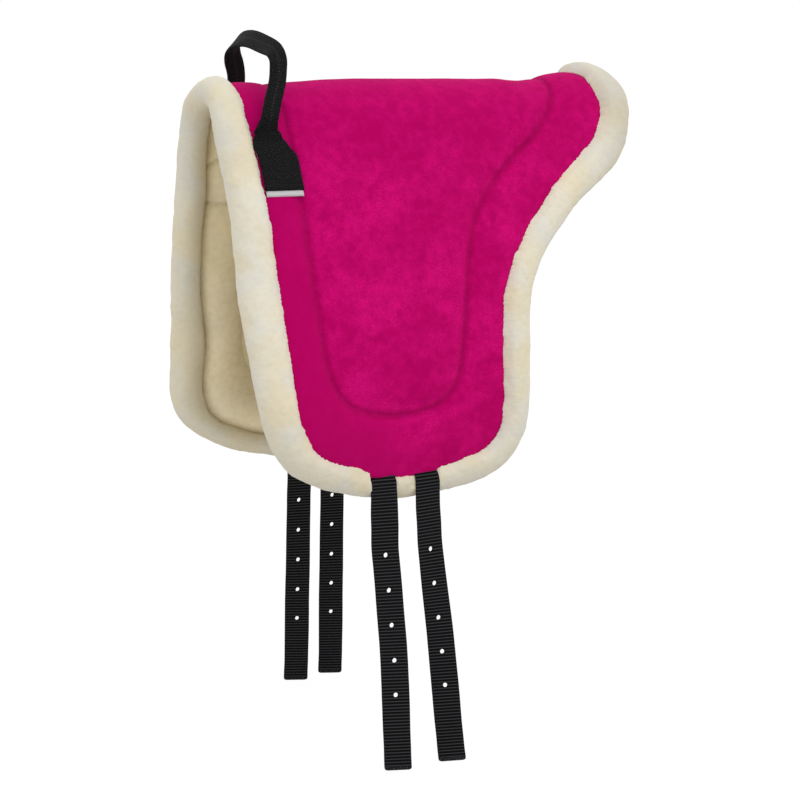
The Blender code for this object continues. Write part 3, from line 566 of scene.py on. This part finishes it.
def fleece(name, pale, warm, grey, shade, depth, wear_and_painted_shade):
    """Plush pile: wide warm and grey clouds on a pale ground, then clumps of 6 mm and
    tufts of 1 mm, with painted shade between the tufts, and raised by the bump. Painted
    shade darkens it toward the bottom and in the furrows, creases and other places that a
    field of the mesh marks, and it is darker at the cantle and on top."""
    pile = Finish(name, {"Roughness": 1.0, "Specular IOR Level": 0.02, "Sheen Weight": 0.1,
                         "Sheen Roughness": 0.6, "Sheen Tint": (1, 0.98, 0.95, 1)})
    here = pile.place()
    clouds = pile.between(pile.speckle(here, 0.05, 1, 0.4), 0.34, 0.66)
    drift = pile.between(pile.speckle(here, 0.034, 1, 0.4), 0.4, 0.72)
    clumps = pile.speckle(here, 0.0065, 2, 0.5)
    tufts = pile.speckle(here, 0.0013, 2, 0.5)
    tall = pile.axis(here, "Z")
    # Painted shade that darkens the pile toward the bottom.
    low_painted_shade = 1 - pile.between(tall, -0.46, -0.2)
    at_cantle = pile.between(pile.axis(here, "X"), 0.19, 0.245)
    # Darker toward grey-brown at the cantle and near the top.
    darker_at_cantle_and_top = at_cantle * 0.25 + pile.between(tall, -0.1, 0) * 0.09
    # Painted shade marked on the mesh: in the furrows, along the creases and low in the lining.
    painted_shade = pile.field("painted_shade")
    ground_colour = pile.mix(darker_at_cantle_and_top, pile.mix(drift * 0.6, pile.mix(clouds, pale, warm), grey),
                             (0.28, 0.27, 0.25, 1))
    # Painted shade between the tufts: the ground is mixed toward the shade colour where clumps and
    # tufts are low.
    shade_between_tufts = 1 - pile.between(clumps * 0.75 + tufts * 0.25, 0.3, 0.62)
    pile.feed(pile.shader, {
        "Base Color": pile.mix(shade_between_tufts * depth + low_painted_shade * wear_and_painted_shade + painted_shade * 0.55,
                               ground_colour, shade),
        "Normal": pile.bump(tufts * 0.2 + clumps, 0.0012, 0.45)})
    return pile.material


def lining_past(line):
    """How far the lining runs out over the roll at places on the outline. It swells over
    the roll along the front and draws back above the front corner."""
    arcs = (0, 0.05, 0.08, 0.12, 0.145, 0.17, 0.21, 0.27, 0.295, 0.32, 0.345, 0.385, 0.41)
    millimetres = (4.5, 8, 10, 8.5, 6, 7.5, 12, 14, 13, 8.5, 4, 1.5, 4.5)
    at_front = np.interp(line[:, 1], arcs, millimetres) / 1000
    at_front = 0.0045 + (at_front - 0.0045) * (1 - ease(line[:, 0], -0.19, -0.15))
    return np.convolve(np.pad(at_front, 4, mode="edge"), np.ones(9) / 9, "valid")


# The lining's fleece gets brighter, yellower colours than the roll's; the brightness is painted
# light that lifts the dim inside of the pad.
lining_finish = fleece("lining fleece", (0.87, 0.78, 0.55, 1), (0.83, 0.73, 0.48, 1),
                       (0.79, 0.72, 0.53, 1), (0.48, 0.385, 0.22, 1), 0.16, 0.15)
lining_cloth = 0.0046
# Creases: the arc at the edge, slope, depth, width and how far they reach in.
creases = ((0.118, -0.7, 0.8, 0.0032, 0.045), (0.1595, 0, 0.7, 0.0022, 0.055),
           (0.163, 0, 0.4, 0.012, 0.055), (0.262, 0.3, 0.25, 0.004, 0.035))
points, shell, gap, edge = quilt(210, 104, 34, lining_past)
for side, label in side_names.items():
    place = drape(points[:, 0], points[:, 1] * side, -half_thickness)
    lumps = (0.0012 * waves(place, 0.034, 21) + 0.0005 * waves(place, 0.012, 22)
             + 0.0002 * waves(place, 0.0045, 23))
    crease = sum(deep * np.exp(-((points[:, 1] - arc - slope * edge) / wide) ** 2)
                 * (1 - ease(edge, reach * 0.5, reach))
                 for arc, slope, deep, wide, reach in creases)
    # Painted shade low in the lining's middle, away from its edge.
    low_painted_shade = ease(edge, 0.008, 0.05) * ease(points[:, 1], 0.13, 0.31)
    flat_inside = 0.002 * np.exp(-np.abs(gap) / 0.006) - half_thickness
    plump = 0.0072 * (1 - np.exp(-edge / 0.011)) * (1 - 0.5 * np.exp(-np.abs(gap) / 0.012))
    inside = flat_inside - (lumps + plump) * (1 - np.exp(-edge / 0.004)) + 0.0035 * crease + (
        0.001 * np.exp(-edge / 0.004))
    # Painted shade: darker in the furrow at the lining's edge, along the creases and low in its
    # middle.
    painted_shade = 1.2 * (1 - ease(edge, 0, 0.012)) + 0.6 * crease + 1.3 * low_painted_shade
    faces = [drape(points[:, 0], points[:, 1] * side, t)
             for t in (flat_inside + lining_cloth, inside)]
    lining = make_piece("fleece_lining_" + label, np.concatenate(faces), shell, lining_finish,
                        np.tile(points, (2, 1)), {"painted_shade": np.tile(painted_shade, 2)})
    drape(0, bend_start * side, 0)
    drape(0, bend_end * side, 0)
    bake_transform(lining)
    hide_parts("seat_lining", label + "_lining")


# The edge roll
# The same fleece rolled over a soft core and sewn on all round the outline, plump at the
# pommel and the cantle and flatter along the hem. The billets press a bed into it.

roll_table = np.array([
    (0, 0.71, 0.75, 0.97), (0.05, 0.82, 0.77, 0.93), (0.12, 0.88, 0.78, 0.94),
    (0.20, 1, 0.80, 0.91), (0.28, 0.99, 0.80, 0.91), (0.33, 0.95, 0.75, 0.90),
    (0.37, 0.87, 0.60, 0.84), (0.41, 0.84, 0.52, 0.74), (0.45, 0.84, 0.50, 0.73),
    (0.50, 0.85, 0.62, 0.75), (0.55, 0.88, 0.78, 0.84), (0.62, 0.89, 0.80, 0.88),
    (0.70, 0.92, 0.80, 0.88), (0.78, 0.86, 0.78, 0.91), (0.86, 0.91, 0.80, 0.87),
    (0.93, 0.99, 0.84, 0.84), (0.97, 0.92, 0.82, 0.86), (1, 0.84, 0.78, 0.90)])
billet_width = 0.03
billet_thickness = 0.0023
billet_centres = {"left_front": -0.09345, "left_rear": -0.04265, "right_front": -0.08498,
                  "right_rear": -0.04166}


def roll_size(place):
    """Radius, centre's distance out and height of the roll at shares of the outline."""
    radius, out, tall = (np.interp(place, roll_table[:, 0], roll_table[:, k]) for k in (1, 2, 3))
    return radius * roll_radius, out * radius * roll_radius, tall * radius * roll_radius


def billet_bed(label):
    """The billet's way over the roll: arc of the hem under it, distances out from the
    hem, and heights of the strap's middle there."""
    x = billet_centres[label]
    first, second = (nearest(outline, corner) for corner in outline_corners)
    bottom = outline[first:second]
    across = x + billet_width / 2 * np.linspace(-1, 1, 9)
    hem = np.interp(across, bottom[:, 0], bottom[:, 1]).max()
    run = run_length(outline)
    _, out, tall = roll_size(run[nearest(outline, (x, hem))] / run[-1])
    root = half_thickness - billet_thickness / 2
    crest = tall - 0.0014 + billet_thickness / 2
    away = np.array((0.0006 + billet_thickness * 0.4, out * 0.45, out * 0.9, out * 1.25))
    return hem, away, root + (crest - root) * np.array((0, 0.62, 0.95, 1.08))


def press_bed(label, x, s, height, on_hem):
    """Heights of the roll, pressed down under a billet and eased up beside it."""
    hem, bed_away, bed_height = billet_bed(label)
    beside = np.abs(x - billet_centres[label])
    under = (1 - ease(beside, billet_width / 2, billet_width / 2 + 0.004)) * on_hem
    strap = np.interp(s - hem, bed_away, bed_height) - billet_thickness / 2 - 0.0004
    pressed = height + (np.minimum(height, strap) - height) * under
    return np.where((s - hem < bed_away[-1]) & (height > 0), pressed, height)


def roll_rings(side, rings, around):
    """Rings of the roll in the pattern: out = centre + radius cos(turn), t = height
    sin(turn), from the tip that lies on the suede round to the tip on the lining, each
    eased down to the cloth and frayed along its length, then back along the seam. The
    rings turn square to the ridge where the two halves meet."""
    share = np.linspace(0, 1, rings)
    line = read_line(outline, share)
    tangent = unit(np.gradient(line, axis=0))
    outward = np.stack([-tangent[:, 1], tangent[:, 0]], axis=-1)
    run = share * run_length(outline)[-1]
    square = ease(np.minimum(run, run[-1] - run), 0, 0.03)[:, None]
    along = np.stack([np.sign(line[:, 0]), 0 * run], axis=-1)
    outward = unit(outward * square + along * (1 - square))
    edge_x, edge_s = line[:, :1], line[:, 1:]
    out_x, out_s = outward[:, :1], outward[:, 1:]
    kernel = np.ones(41) / 41
    radius, out, tall = (np.convolve(np.pad(size, 20, mode="edge"), kernel, "valid")[:, None]
                         for size in roll_size(share))
    swing = np.linspace(1, -1, around)
    inner = lining_past(line)[:, None]
    turn = np.arccos(np.clip((np.where(swing > 0, 0.003, inner - 0.0039) - out) / radius,
                             -1, 1)) * swing
    fall = ease(np.abs(swing), 0.84, 1)
    fray = (0.0006 * waves(run[:, None], 0.0016, 31 + side)
            + 0.0011 * waves(run[:, None], 0.012, 33 + side))[:, None]
    on_hem = edge_s > side_length * 0.9
    dip = 0.0025 * at_billets(edge_x, edge_s)
    tuft = 0.006 * np.exp(-((edge_x + 0.129) / 0.015) ** 2) * on_hem * (side < 0)
    tip_away = np.where(swing > 0, dip + 0.0009 - tuft + fray, inner - 0.0015 + fray)
    tip_height = np.where(swing > 0, half_thickness + 0.0003 - sink(edge_x, edge_s),
                          -half_thickness + 0.0017)
    away = (out + radius * np.cos(turn)) * (1 - fall) + fall * tip_away
    height = tall * np.sin(turn) * (1 - fall) + fall * tip_height
    spot = drape(edge_x + away * out_x, (edge_s + away * out_s) * side, height)
    lump = (0.0011 * waves(spot, 0.034, 41) + 0.0006 * waves(spot, 0.014, 42)
            + 0.0003 * waves(spot, 0.006, 43) + 0.0002 * waves(spot, 0.0025, 44))
    away = away + lump * np.cos(turn) * (1 - fall)
    height = height + lump * np.sin(turn) * (1 - fall)
    for place in ("_front", "_rear"):
        height = press_bed(side_names[side] + place, edge_x + away * out_x,
                           edge_s + away * out_s, height, on_hem)
    seam_away = np.array((0.0052, 0.0052, 0.0008, 0.0031, 0.0031)) + (
        inner - 0.0045) * (1, 1, 0, 0, 0)
    seam_height = np.array((-0.0068, -0.0012, -0.0006, 0.002, 0.0044)) + 0 * run[:, None]
    away = np.concatenate((away, seam_away), axis=1)
    height = np.concatenate((height, seam_height), axis=1)
    x = edge_x + away * out_x
    s = edge_s + away * out_s
    around_run = np.linspace(0, 0.1, away.shape[1])[None] + 0 * run[:, None]
    # Painted shade on the roll's inner side, darker toward the furrow at the lining.
    painted_shade = np.concatenate((ease(-swing, 0.36, 1) * 1.15, 0 * seam_height[0])) + 0 * away
    return x, s, height, painted_shade, np.stack([around_run, run[:, None] + 0 * away], axis=-1)


def tube_faces(rings, around):
    """Quads round a closed tube, and a fan of triangles over each end."""
    ids = np.arange(rings * around).reshape(rings, around)
    after = np.roll(ids, -1, axis=1)
    quads = np.stack([ids[:-1], after[:-1], after[1:], ids[1:]], -1).reshape(-1, 4)
    first, last = rings * around, rings * around + 1
    fans = np.concatenate((
        np.stack([after[0], ids[0], np.full(around, first)], -1),
        np.stack([ids[-1], after[-1], np.full(around, last)], -1)))
    return quads, fans


def make_tube(name, rings, finish, uv, fields=None):
    """A closed tube through rings of points, whose ends are capped at their middles."""
    points = np.concatenate((rings.reshape(-1, 3), rings[(0, -1), :].mean(axis=1)))
    quads, fans = tube_faces(*rings.shape[:2])
    uv = np.concatenate((uv.reshape(-1, 2), uv[(0, -1), 0]))
    return make_piece(name, points, quads, finish, uv, fields, fans)


roll_finish = fleece("roll fleece", (0.69, 0.645, 0.525, 1), (0.69, 0.62, 0.46, 1),
                     (0.64, 0.64, 0.60, 1), (0.42, 0.345, 0.195, 1), 0.1, 0.14)
for side, label in side_names.items():
    x, s, height, painted_shade, uv = roll_rings(side, 1120, 62)
    roll = make_tube("edge_roll_" + label, drape(x, s * side, height), roll_finish, uv,
                     {"painted_shade": np.append(painted_shade, (0, 0))})
    drape(0, bend_start * side, 0)
    drape(0, bend_end * side, 0)
    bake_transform(roll)
    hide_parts("pommel_roll", "cantle_roll", label + "_skirt_roll")


# The girth billets
# Four lengths of black ribbed webbing, 30 mm wide, sewn in at the hem, two on each side.
# Each comes out over the roll, is punched with five holes, and its cut end is sealed.

billet_length = 0.326
rib_pitch = 0.0036
hole_margin, hole_pitch, hole_count = 0.085, 0.039, 5
hole_half_width, hole_half_height, hole_around = 0.0023, 0.0028, 22
punch_reach = 0.006
hang_in = 0.085
# Backward leans as a slope, sideways drifts in millimetres at nine places, twists in
# degrees at the top and at the tip, and the slopes at which the ribs lie.
billet_leans = {"left_front": 0.022, "left_rear": 0.072, "right_front": 0.005,
                "right_rear": 0.022}
billet_drifts = {"left_front": (0, 0, -2.6, -1.7, -0.6, 0.5, -0.5, -2.1, -2.8),
                 "left_rear": (3.6, 1.2, -1.8, -2.2, -1.1, -0.5, -1.1, -2.0, -1.6),
                 "right_front": (0.5, 0.5, 0.5, 0.5, 0.6, 0.5, 0.4, 0.3, 0.2),
                 "right_rear": (0, 0.3, 0.3, 0, -0.4, -0.6, -1, -1.2, -1.5)}
billet_twists = {"left_front": (9, 20), "left_rear": (0, 25), "right_front": (4, 16),
                 "right_rear": (4, 16)}
billet_skews = {"left_front": 0.035, "left_rear": -0.02, "right_front": 0.035,
                "right_rear": 0.03}


def webbing(name, coordinates, pitch, wear_and_painted_shade):
    """Black webbing: a rib lies across the strap at every pitch of the second
    coordinate, its crest lighter as a painted highlight and the grooves between darker as
    painted shade, over a fine twill of yarns. Worn webbing has specks in place of ribs,
    and a row of stitches where the first coordinate is near 0. The sealed end has specks
    alone."""
    black = Finish(name, {"Roughness": 0.6, "Specular IOR Level": 0.05})
    place = black.place(coordinates)
    run = black.axis(place, "Y")
    across = black.axis(place, "X")
    # Painted highlight on the crest of each rib, painted shade in the grooves between.
    crest = abs(black.sine(run, pitch)) ** 8
    yarn = abs(black.sine(across * 2.2 + run, 0.0011))
    fuzz = black.speckle(place, 0.0016, 2, 0.6)
    speck = black.between(black.speckle(place, 0.0011, 2, 0.6), 0.52, 0.78)
    sealed = black.field("sealed")
    middle = 1 - black.between(abs(across), 0, 0.0012)
    stitch = middle * black.between(black.sine(run, 0.0016), 0.1, 0.6) * 0.5
    tone = crest * (yarn * 0.3 + fuzz * 0.6 + 0.4) * (1 - wear_and_painted_shade) * (1 - sealed) + (
        (speck + stitch + 0.05) * wear_and_painted_shade + (black.between(fuzz, 0.5, 0.66) + 0.1) * sealed)
    black.feed(black.shader, {
        "Base Color": black.mix(tone, (0.0022, 0.0022, 0.0025, 1), (0.055, 0.055, 0.06, 1)),
        "Normal": black.bump(crest * (1 - wear_and_painted_shade) + yarn * 0.5 + fuzz * 0.4, 0.00025, 0.8)})
    return black.material


def strap_section(around, sharpness):
    """Points round a flat strap's section: cos and sin of the turn, each raised to a
    power below 1, which squares the oval off."""
    turn = np.linspace(0, 2 * pi, around, endpoint=False) + pi / around
    x, y = np.cos(turn), np.sin(turn)
    return np.sign(x) * np.abs(x) ** 0.25, np.sign(y) * np.abs(y) ** sharpness


def billet_path(label, side):
    """Middle line of a billet in the plane across the pad, over the roll and then
    hanging a little inward, and the length of it that is sewn in."""
    hem, away, tall = billet_bed(label)
    start = drape(billet_centres[label], (hem + away) * side, tall)[:, 1:]
    heading = np.array((hang_in * side, -1)) / np.hypot(hang_in, 1)
    rest = billet_length + 0.003 * (label == "left_rear") - run_length(start)[-1]
    sewn_in = start[:1] + (start[:1] - start[1:2]) * 0.35
    hanging = start[-1] + heading * rest * np.array([[0.12], [0.5], [1]])
    path = smooth_line(np.concatenate((sewn_in, start, hanging)), 900)
    return path, np.linalg.norm(sewn_in - start[0])


def billet_runs(length):
    """Where a billet's rings lie: six to each rib, and closer together at the cut end."""
    rib_share = np.array((0, 0.07, 0.24, 0.5, 0.76, 0.93))
    run = (np.arange(int(length / rib_pitch))[:, None] + rib_share).ravel() * rib_pitch
    tail = length - np.array((0.005, 0.0035, 0.0022, 0.0012, 0.0005, 0))
    return np.concatenate((run[run < tail[0] - 0.0003], tail))


def billet_axes(label, side, run, centre):
    """Directions across the twisted strap, skewed along its ribs, and out of its face."""
    tangent = unit(np.gradient(centre, run, axis=0))
    early, late = (radians(turn) for turn in billet_twists[label])
    twist = (early * ease(run, 0.012, 0.045) + (late - early) * ease(run, 0.05, 0.25))[:, None]
    flat = np.stack([0 * run, tangent[:, 1], -tangent[:, 0]], axis=-1)
    wide = np.cos(twist) * (1, 0, 0) + np.sin(twist) * flat
    normal = (np.sin(twist) * (1, 0, 0) - np.cos(twist) * flat) * side
    return wide + billet_skews[label] * np.column_stack([0 * run, tangent]), normal


def punch_holes(billet, spine, wide, normal, at_hole):
    """Cuts an oval tube through the strap at each of the given rings."""
    turn = np.linspace(0, 2 * pi, hole_around, endpoint=False)[None, None, :, None]
    downward = np.cross(wide, normal)[at_hole, None, None]
    through = punch_reach * np.array((-1, 1))[None, :, None, None]
    tubes = (spine[at_hole, None, None]
             + hole_half_width * np.cos(turn) * wide[at_hole, None, None]
             + hole_half_height * np.sin(turn) * downward
             + through * normal[at_hole, None, None])
    tubes = np.concatenate((tubes.reshape(hole_count, -1, 3), tubes.mean(axis=2)), axis=1)
    quads, fans = tube_faces(2, hole_around)
    stride = np.arange(hole_count)[:, None, None] * tubes.shape[1]
    punch = make_piece("punch", tubes.reshape(-1, 3), (quads + stride).reshape(-1, 4),
                       billet_webbing, fans=(fans + stride).reshape(-1, 3))
    step = billet.modifiers.new("holes", "BOOLEAN")
    step.operation = "DIFFERENCE"
    step.solver = "EXACT"
    step.object = punch
    bpy.context.view_layer.objects.active = billet
    bpy.context.view_layer.update()
    punched = bpy.data.meshes.new_from_object(
        billet.evaluated_get(bpy.context.evaluated_depsgraph_get()))
    billet.modifiers.clear()
    billet.data = punched
    bpy.data.objects.remove(punch)


billet_webbing = webbing("billet webbing", "UV", rib_pitch, 0.1)
for label, back_lean in billet_leans.items():
    side = -1 if label.startswith("left") else 1
    path, root = billet_path(label, side)
    length = run_length(path)[-1]
    run = billet_runs(length)
    centre = read_line(path, run / length)
    wide, normal = billet_axes(label, side, run, centre)
    to_end = (length - run)[:, None]
    corner = 0.0032
    rounded = corner - np.sqrt(np.maximum(0, corner ** 2 - np.maximum(0, corner - to_end) ** 2))
    across, depth = strap_section(44, 0.4)
    spread = 1.01 + (label == "left_rear") * (0.06 * run / length - 0.045)
    width = billet_width / 2 * (spread + 0.012 * waves(run[:, None], 0.05, 51))[:, None] - rounded
    ribs = 1 - (1 - np.abs(np.sin(pi * run / rib_pitch))[:, None]) ** 2
    on_ribs = 1 - ease(np.abs(across), 0.76, 0.92)[None]
    thick = billet_thickness / 2 * (0.7 + 0.3 * (ribs * on_ribs + 0.7 * (1 - on_ribs)))
    thick = thick * (1 - 0.25 * np.exp(-to_end / 0.002))
    drift = smooth_line(np.column_stack([
        length * np.array((0, 0.11, 0.22, 0.35, 0.48, 0.6, 0.75, 0.88, 1)),
        np.array(billet_drifts[label]) / 1000]), 200)
    drift = np.interp(run, drift[:, 0], drift[:, 1])[:, None]
    sideways = across * width + 0.0003 * waves(run[:, None], 0.02, 52)[:, None]
    off = depth * thick
    spine = np.column_stack([billet_centres[label] + back_lean * (run - root) + drift[:, 0],
                             centre])
    rings = spine[:, None] + wide[:, None] * sideways[..., None] + normal[:, None] * off[..., None]
    uv = np.stack([across * width + 0.1, run[:, None] + 0 * off], axis=-1)
    sealed = np.repeat(1 - ease(to_end, 0.004, 0.006), len(across))
    billet = make_tube("billet_" + label, rings, billet_webbing, uv,
                       {"sealed": np.append(sealed, (0, 1))})
    at_hole = np.searchsorted(run, hole_margin + hole_pitch * np.arange(hole_count) + root)
    punch_holes(billet, spine, wide, normal, at_hole)
    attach(billet, label + "_strap")
    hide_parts(label + "_billet")


# The carrier webs
# Flat webs that run inside the padding over the back and join the billets of each pair,
# so that the girth's pull doesn't come on the hem. They are closed in.

hidden_webbing = webbing("carrier webbing", "Object", rib_pitch, 0.1)
for name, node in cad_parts.items():
    if "carrier" in name:
        node.data.materials.clear()
        node.data.materials.append(hidden_webbing)


# The handle's tabs
# The unfolded ends of the handle's 40 mm webbing lie flat on the suede on each side of
# the withers, sewn down round their edges over a grey backing patch.

tab_top = 0.0792
tab_length = 0.0634
tab_width = 0.04
backing_show = 0.0058
tab_lean = 0.0041
face = half_thickness + 0.0017
grey_cloth = Finish("grey backing cloth", {"Roughness": 0.85, "Specular IOR Level": 0.2})
thread_pitch = 0.0007
cloth_uv = grey_cloth.place("UV")
warp, weft = (abs(grey_cloth.sine(grey_cloth.axis(cloth_uv, name), thread_pitch))
              for name in ("X", "Y"))
threads = (warp + weft) * 0.5
soil = grey_cloth.speckle(cloth_uv, 0.005, 3)
grey_cloth.feed(grey_cloth.shader, {
    "Base Color": grey_cloth.mix(threads * 0.6 + soil * 0.4, (0.36, 0.35, 0.36, 1),
                                 (0.66, 0.65, 0.66, 1)),
    "Normal": grey_cloth.bump(threads, 0.0002, 0.6)})
tab_webbing = webbing("handle webbing", "UV", 0.0016, 0.96)
front_part = outline[:np.argmax(outline[:, 1])]


def tab_shell(rows, columns, length, low, high, side, inset):
    """A patch on the cover: u across and v down. Its front edge keeps to the suede edge
    and leans with it, it is nipped in towards the top, and its face rises from the fold
    at the top, falls off at the rim and is turned under at the hem."""
    u, v = np.linspace(0, 1, columns)[None], np.linspace(0, 1, rows)[:, None]
    hem_arc = tab_top + tab_length + 0.0068
    suede_edge = np.interp(hem_arc, front_part[:, 1], front_part[:, 0])
    lean = tab_lean * (v * length / tab_length - 1)
    bulge = 0.0032 * np.exp(-((v - 0.25) / 0.16) ** 2)
    corner = np.interp(v, (0, 0.012, 0.03, 0.07, 0.12), (0.0068, 0.0048, 0.0032, 0.0015, 0))
    front = suede_edge - 0.0014 + inset + lean - bulge + corner
    nip = np.interp(v, (0, 0.012, 0.03, 0.07, 0.2, 0.4, 1), (0.40, 0.50, 0.56, 0.66, 0.86, 1.01, 1))
    x = front + ((tab_width + 0.0025) * nip - 1.5 * inset) * u
    arc = tab_top + length * v + 0 * u
    rim = 1 - np.minimum(1, np.minimum(np.minimum(u, 1 - u) * 18, (1 - v) * 26))
    folded = ease(v, 0.9, 0.93) * (1 - ease(v, 0.985, 1)) * 0.0006
    fold = 0.0042 * ease(v, -0.035, 0.03) * (1 - ease(v, 0.03, 0.2)) * (1 - rim ** 2)
    top = high - 0.0009 * rim ** 2 + folded + (fold if inset == 0 else 0)
    outer, inner = (drape(x, arc * side, t + 0 * x).reshape(-1, 3) for t in (top, low + 0 * top))
    uv = np.stack([x + 0.5, arc], -1).reshape(-1, 2)
    return (np.concatenate((outer, inner)),
            closed_shell(grid_quads(rows, columns), rows * columns), np.tile(uv, (2, 1)))


for side, label in side_names.items():
    points, quads, uv = tab_shell(60, 30, tab_length + backing_show, face - 0.0004,
                                  face + 0.0012, side, 0.0012)
    backing = make_piece("tab_backing_" + label, points, quads, grey_cloth.material, uv)
    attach(backing, "seat")
    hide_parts(label + "_tab_backing")
    points, quads, uv = tab_shell(150, 44, tab_length, face + 0.0015, face + 0.0035, side, 0)
    tab = make_piece("handle_tab_" + label, points, quads, tab_webbing, uv)
    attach(tab, "seat")
    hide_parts(label + "_handle_tab")


# The grab handle
# The middle of the same webbing, folded lengthwise so that its edges meet along a seam
# on the outer face, arched over the withers and sewn into the tabs at both feet.

# Shares of the way in from each foot, and there, for the left and the right half, the
# rise, the slant to the rear and the turn, as shares of their full sizes.
grip_in = np.array((0, 0.02, 0.07, 0.13, 0.165, 0.195, 0.245, 0.335, 0.507, 0.73, 1))
grip_tables = {
    -1: ((0, 0.175, 0.363, 0.55, 0.701, 0.774, 0.834, 0.882, 0.926, 0.968, 1.012),
         (0.04, 0.18, 0.47, 0.82, 0.95, 1, 1, 1, 0.97, 0.92, 0.88),
         (0, 0, 0, 0, 0.04, 0.12, 0.3, 0.6, 0.9, 1, 1)),
    1: ((0, 0.175, 0.363, 0.57, 0.725, 0.80, 0.88, 0.955, 1.01, 1.028, 1.012),
        (0, 0.5, 1.08, 1.26, 1.14, 1.0, 0.88, 0.84, 0.84, 0.85, 0.86),
        (0, 0, 0, 0, 0.1, 0.25, 0.5, 0.8, 1, 1, 1))}
grip_x = -cover_length / 2 + 0.0147
grip_width, grip_thickness, grip_slant = 0.018, 0.0062, 0.0192
foot_y, foot_z, crest_z = 0.07933, -0.03599, 2 * half_thickness + 0.0403
grip_halves = []
for facing, (rise, slant, turn_share) in grip_tables.items():
    half = np.column_stack([
        grip_x + np.array(slant) * grip_slant, foot_y * (1 - grip_in) * facing,
        foot_z + (crest_z - foot_z) * np.array(rise), np.array(turn_share)])
    half[0, 1:3] = drape(grip_x, (tab_top + 0.004) * facing, face + 0.0024)[1:]
    grip_halves.append(half)
grip_knots = np.concatenate((grip_halves[1][:-1], grip_halves[0][::-1]))
grip_path = smooth_line(grip_knots[:, :3], 360)
grip_run = run_length(grip_path)
grip_share = grip_run / grip_run[-1]
knot_share = run_length(grip_knots[:, :3]) / run_length(grip_knots[:, :3])[-1]
tangent = unit(np.gradient(grip_path, grip_run, axis=0))
wide = unit(np.array((1.0, 0, 0)) - tangent * tangent[:, :1])
out = np.cross(wide, tangent)
out *= np.sign(np.sum(out * (grip_path - (grip_x, 0, 0)), axis=1))[:, None]
turned = np.interp(grip_share, knot_share, grip_knots[:, 3])
turned = np.convolve(np.pad(turned, 9, mode="edge"), np.ones(19) / 19, "valid")[:, None]
tilt = turned * 0.29 * pi
wide, out = wide * np.cos(tilt) + out * np.sin(tilt), out * np.cos(tilt) - wide * np.sin(tilt)
half_width = grip_width / 2 * (1 + 0.15 * turned) * np.interp(
    grip_share, (0, 0.02, 0.055, 0.12, 0.2, 0.27, 0.36, 0.945, 0.98, 1),
    (1.42, 1.3, 1, 0.94, 1.1, 1.2, 1, 1, 1.3, 1.46))[:, None]
half_depth = grip_thickness / 2 * np.interp(
    grip_share, (0, 0.06, 0.4, 0.6, 0.94, 1), (0.6, 1, 0.8, 0.8, 1, 0.6))[:, None]
across, depth = strap_section(56, 0.6)
seam = 0.0009 * np.exp(-(across * grip_width / 2 / 0.0008) ** 2) * (depth > 0)
rings = (grip_path[:, None] + wide[:, None] * (across * half_width)[..., None]
         + out[:, None] * (depth * half_depth - seam)[..., None])
uv = np.stack([across * half_width, grip_run[:, None] + 0 * across], axis=-1)
handle = make_tube("grab_handle_strap", rings, tab_webbing, uv)
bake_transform(handle)
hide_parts("grab_handle")
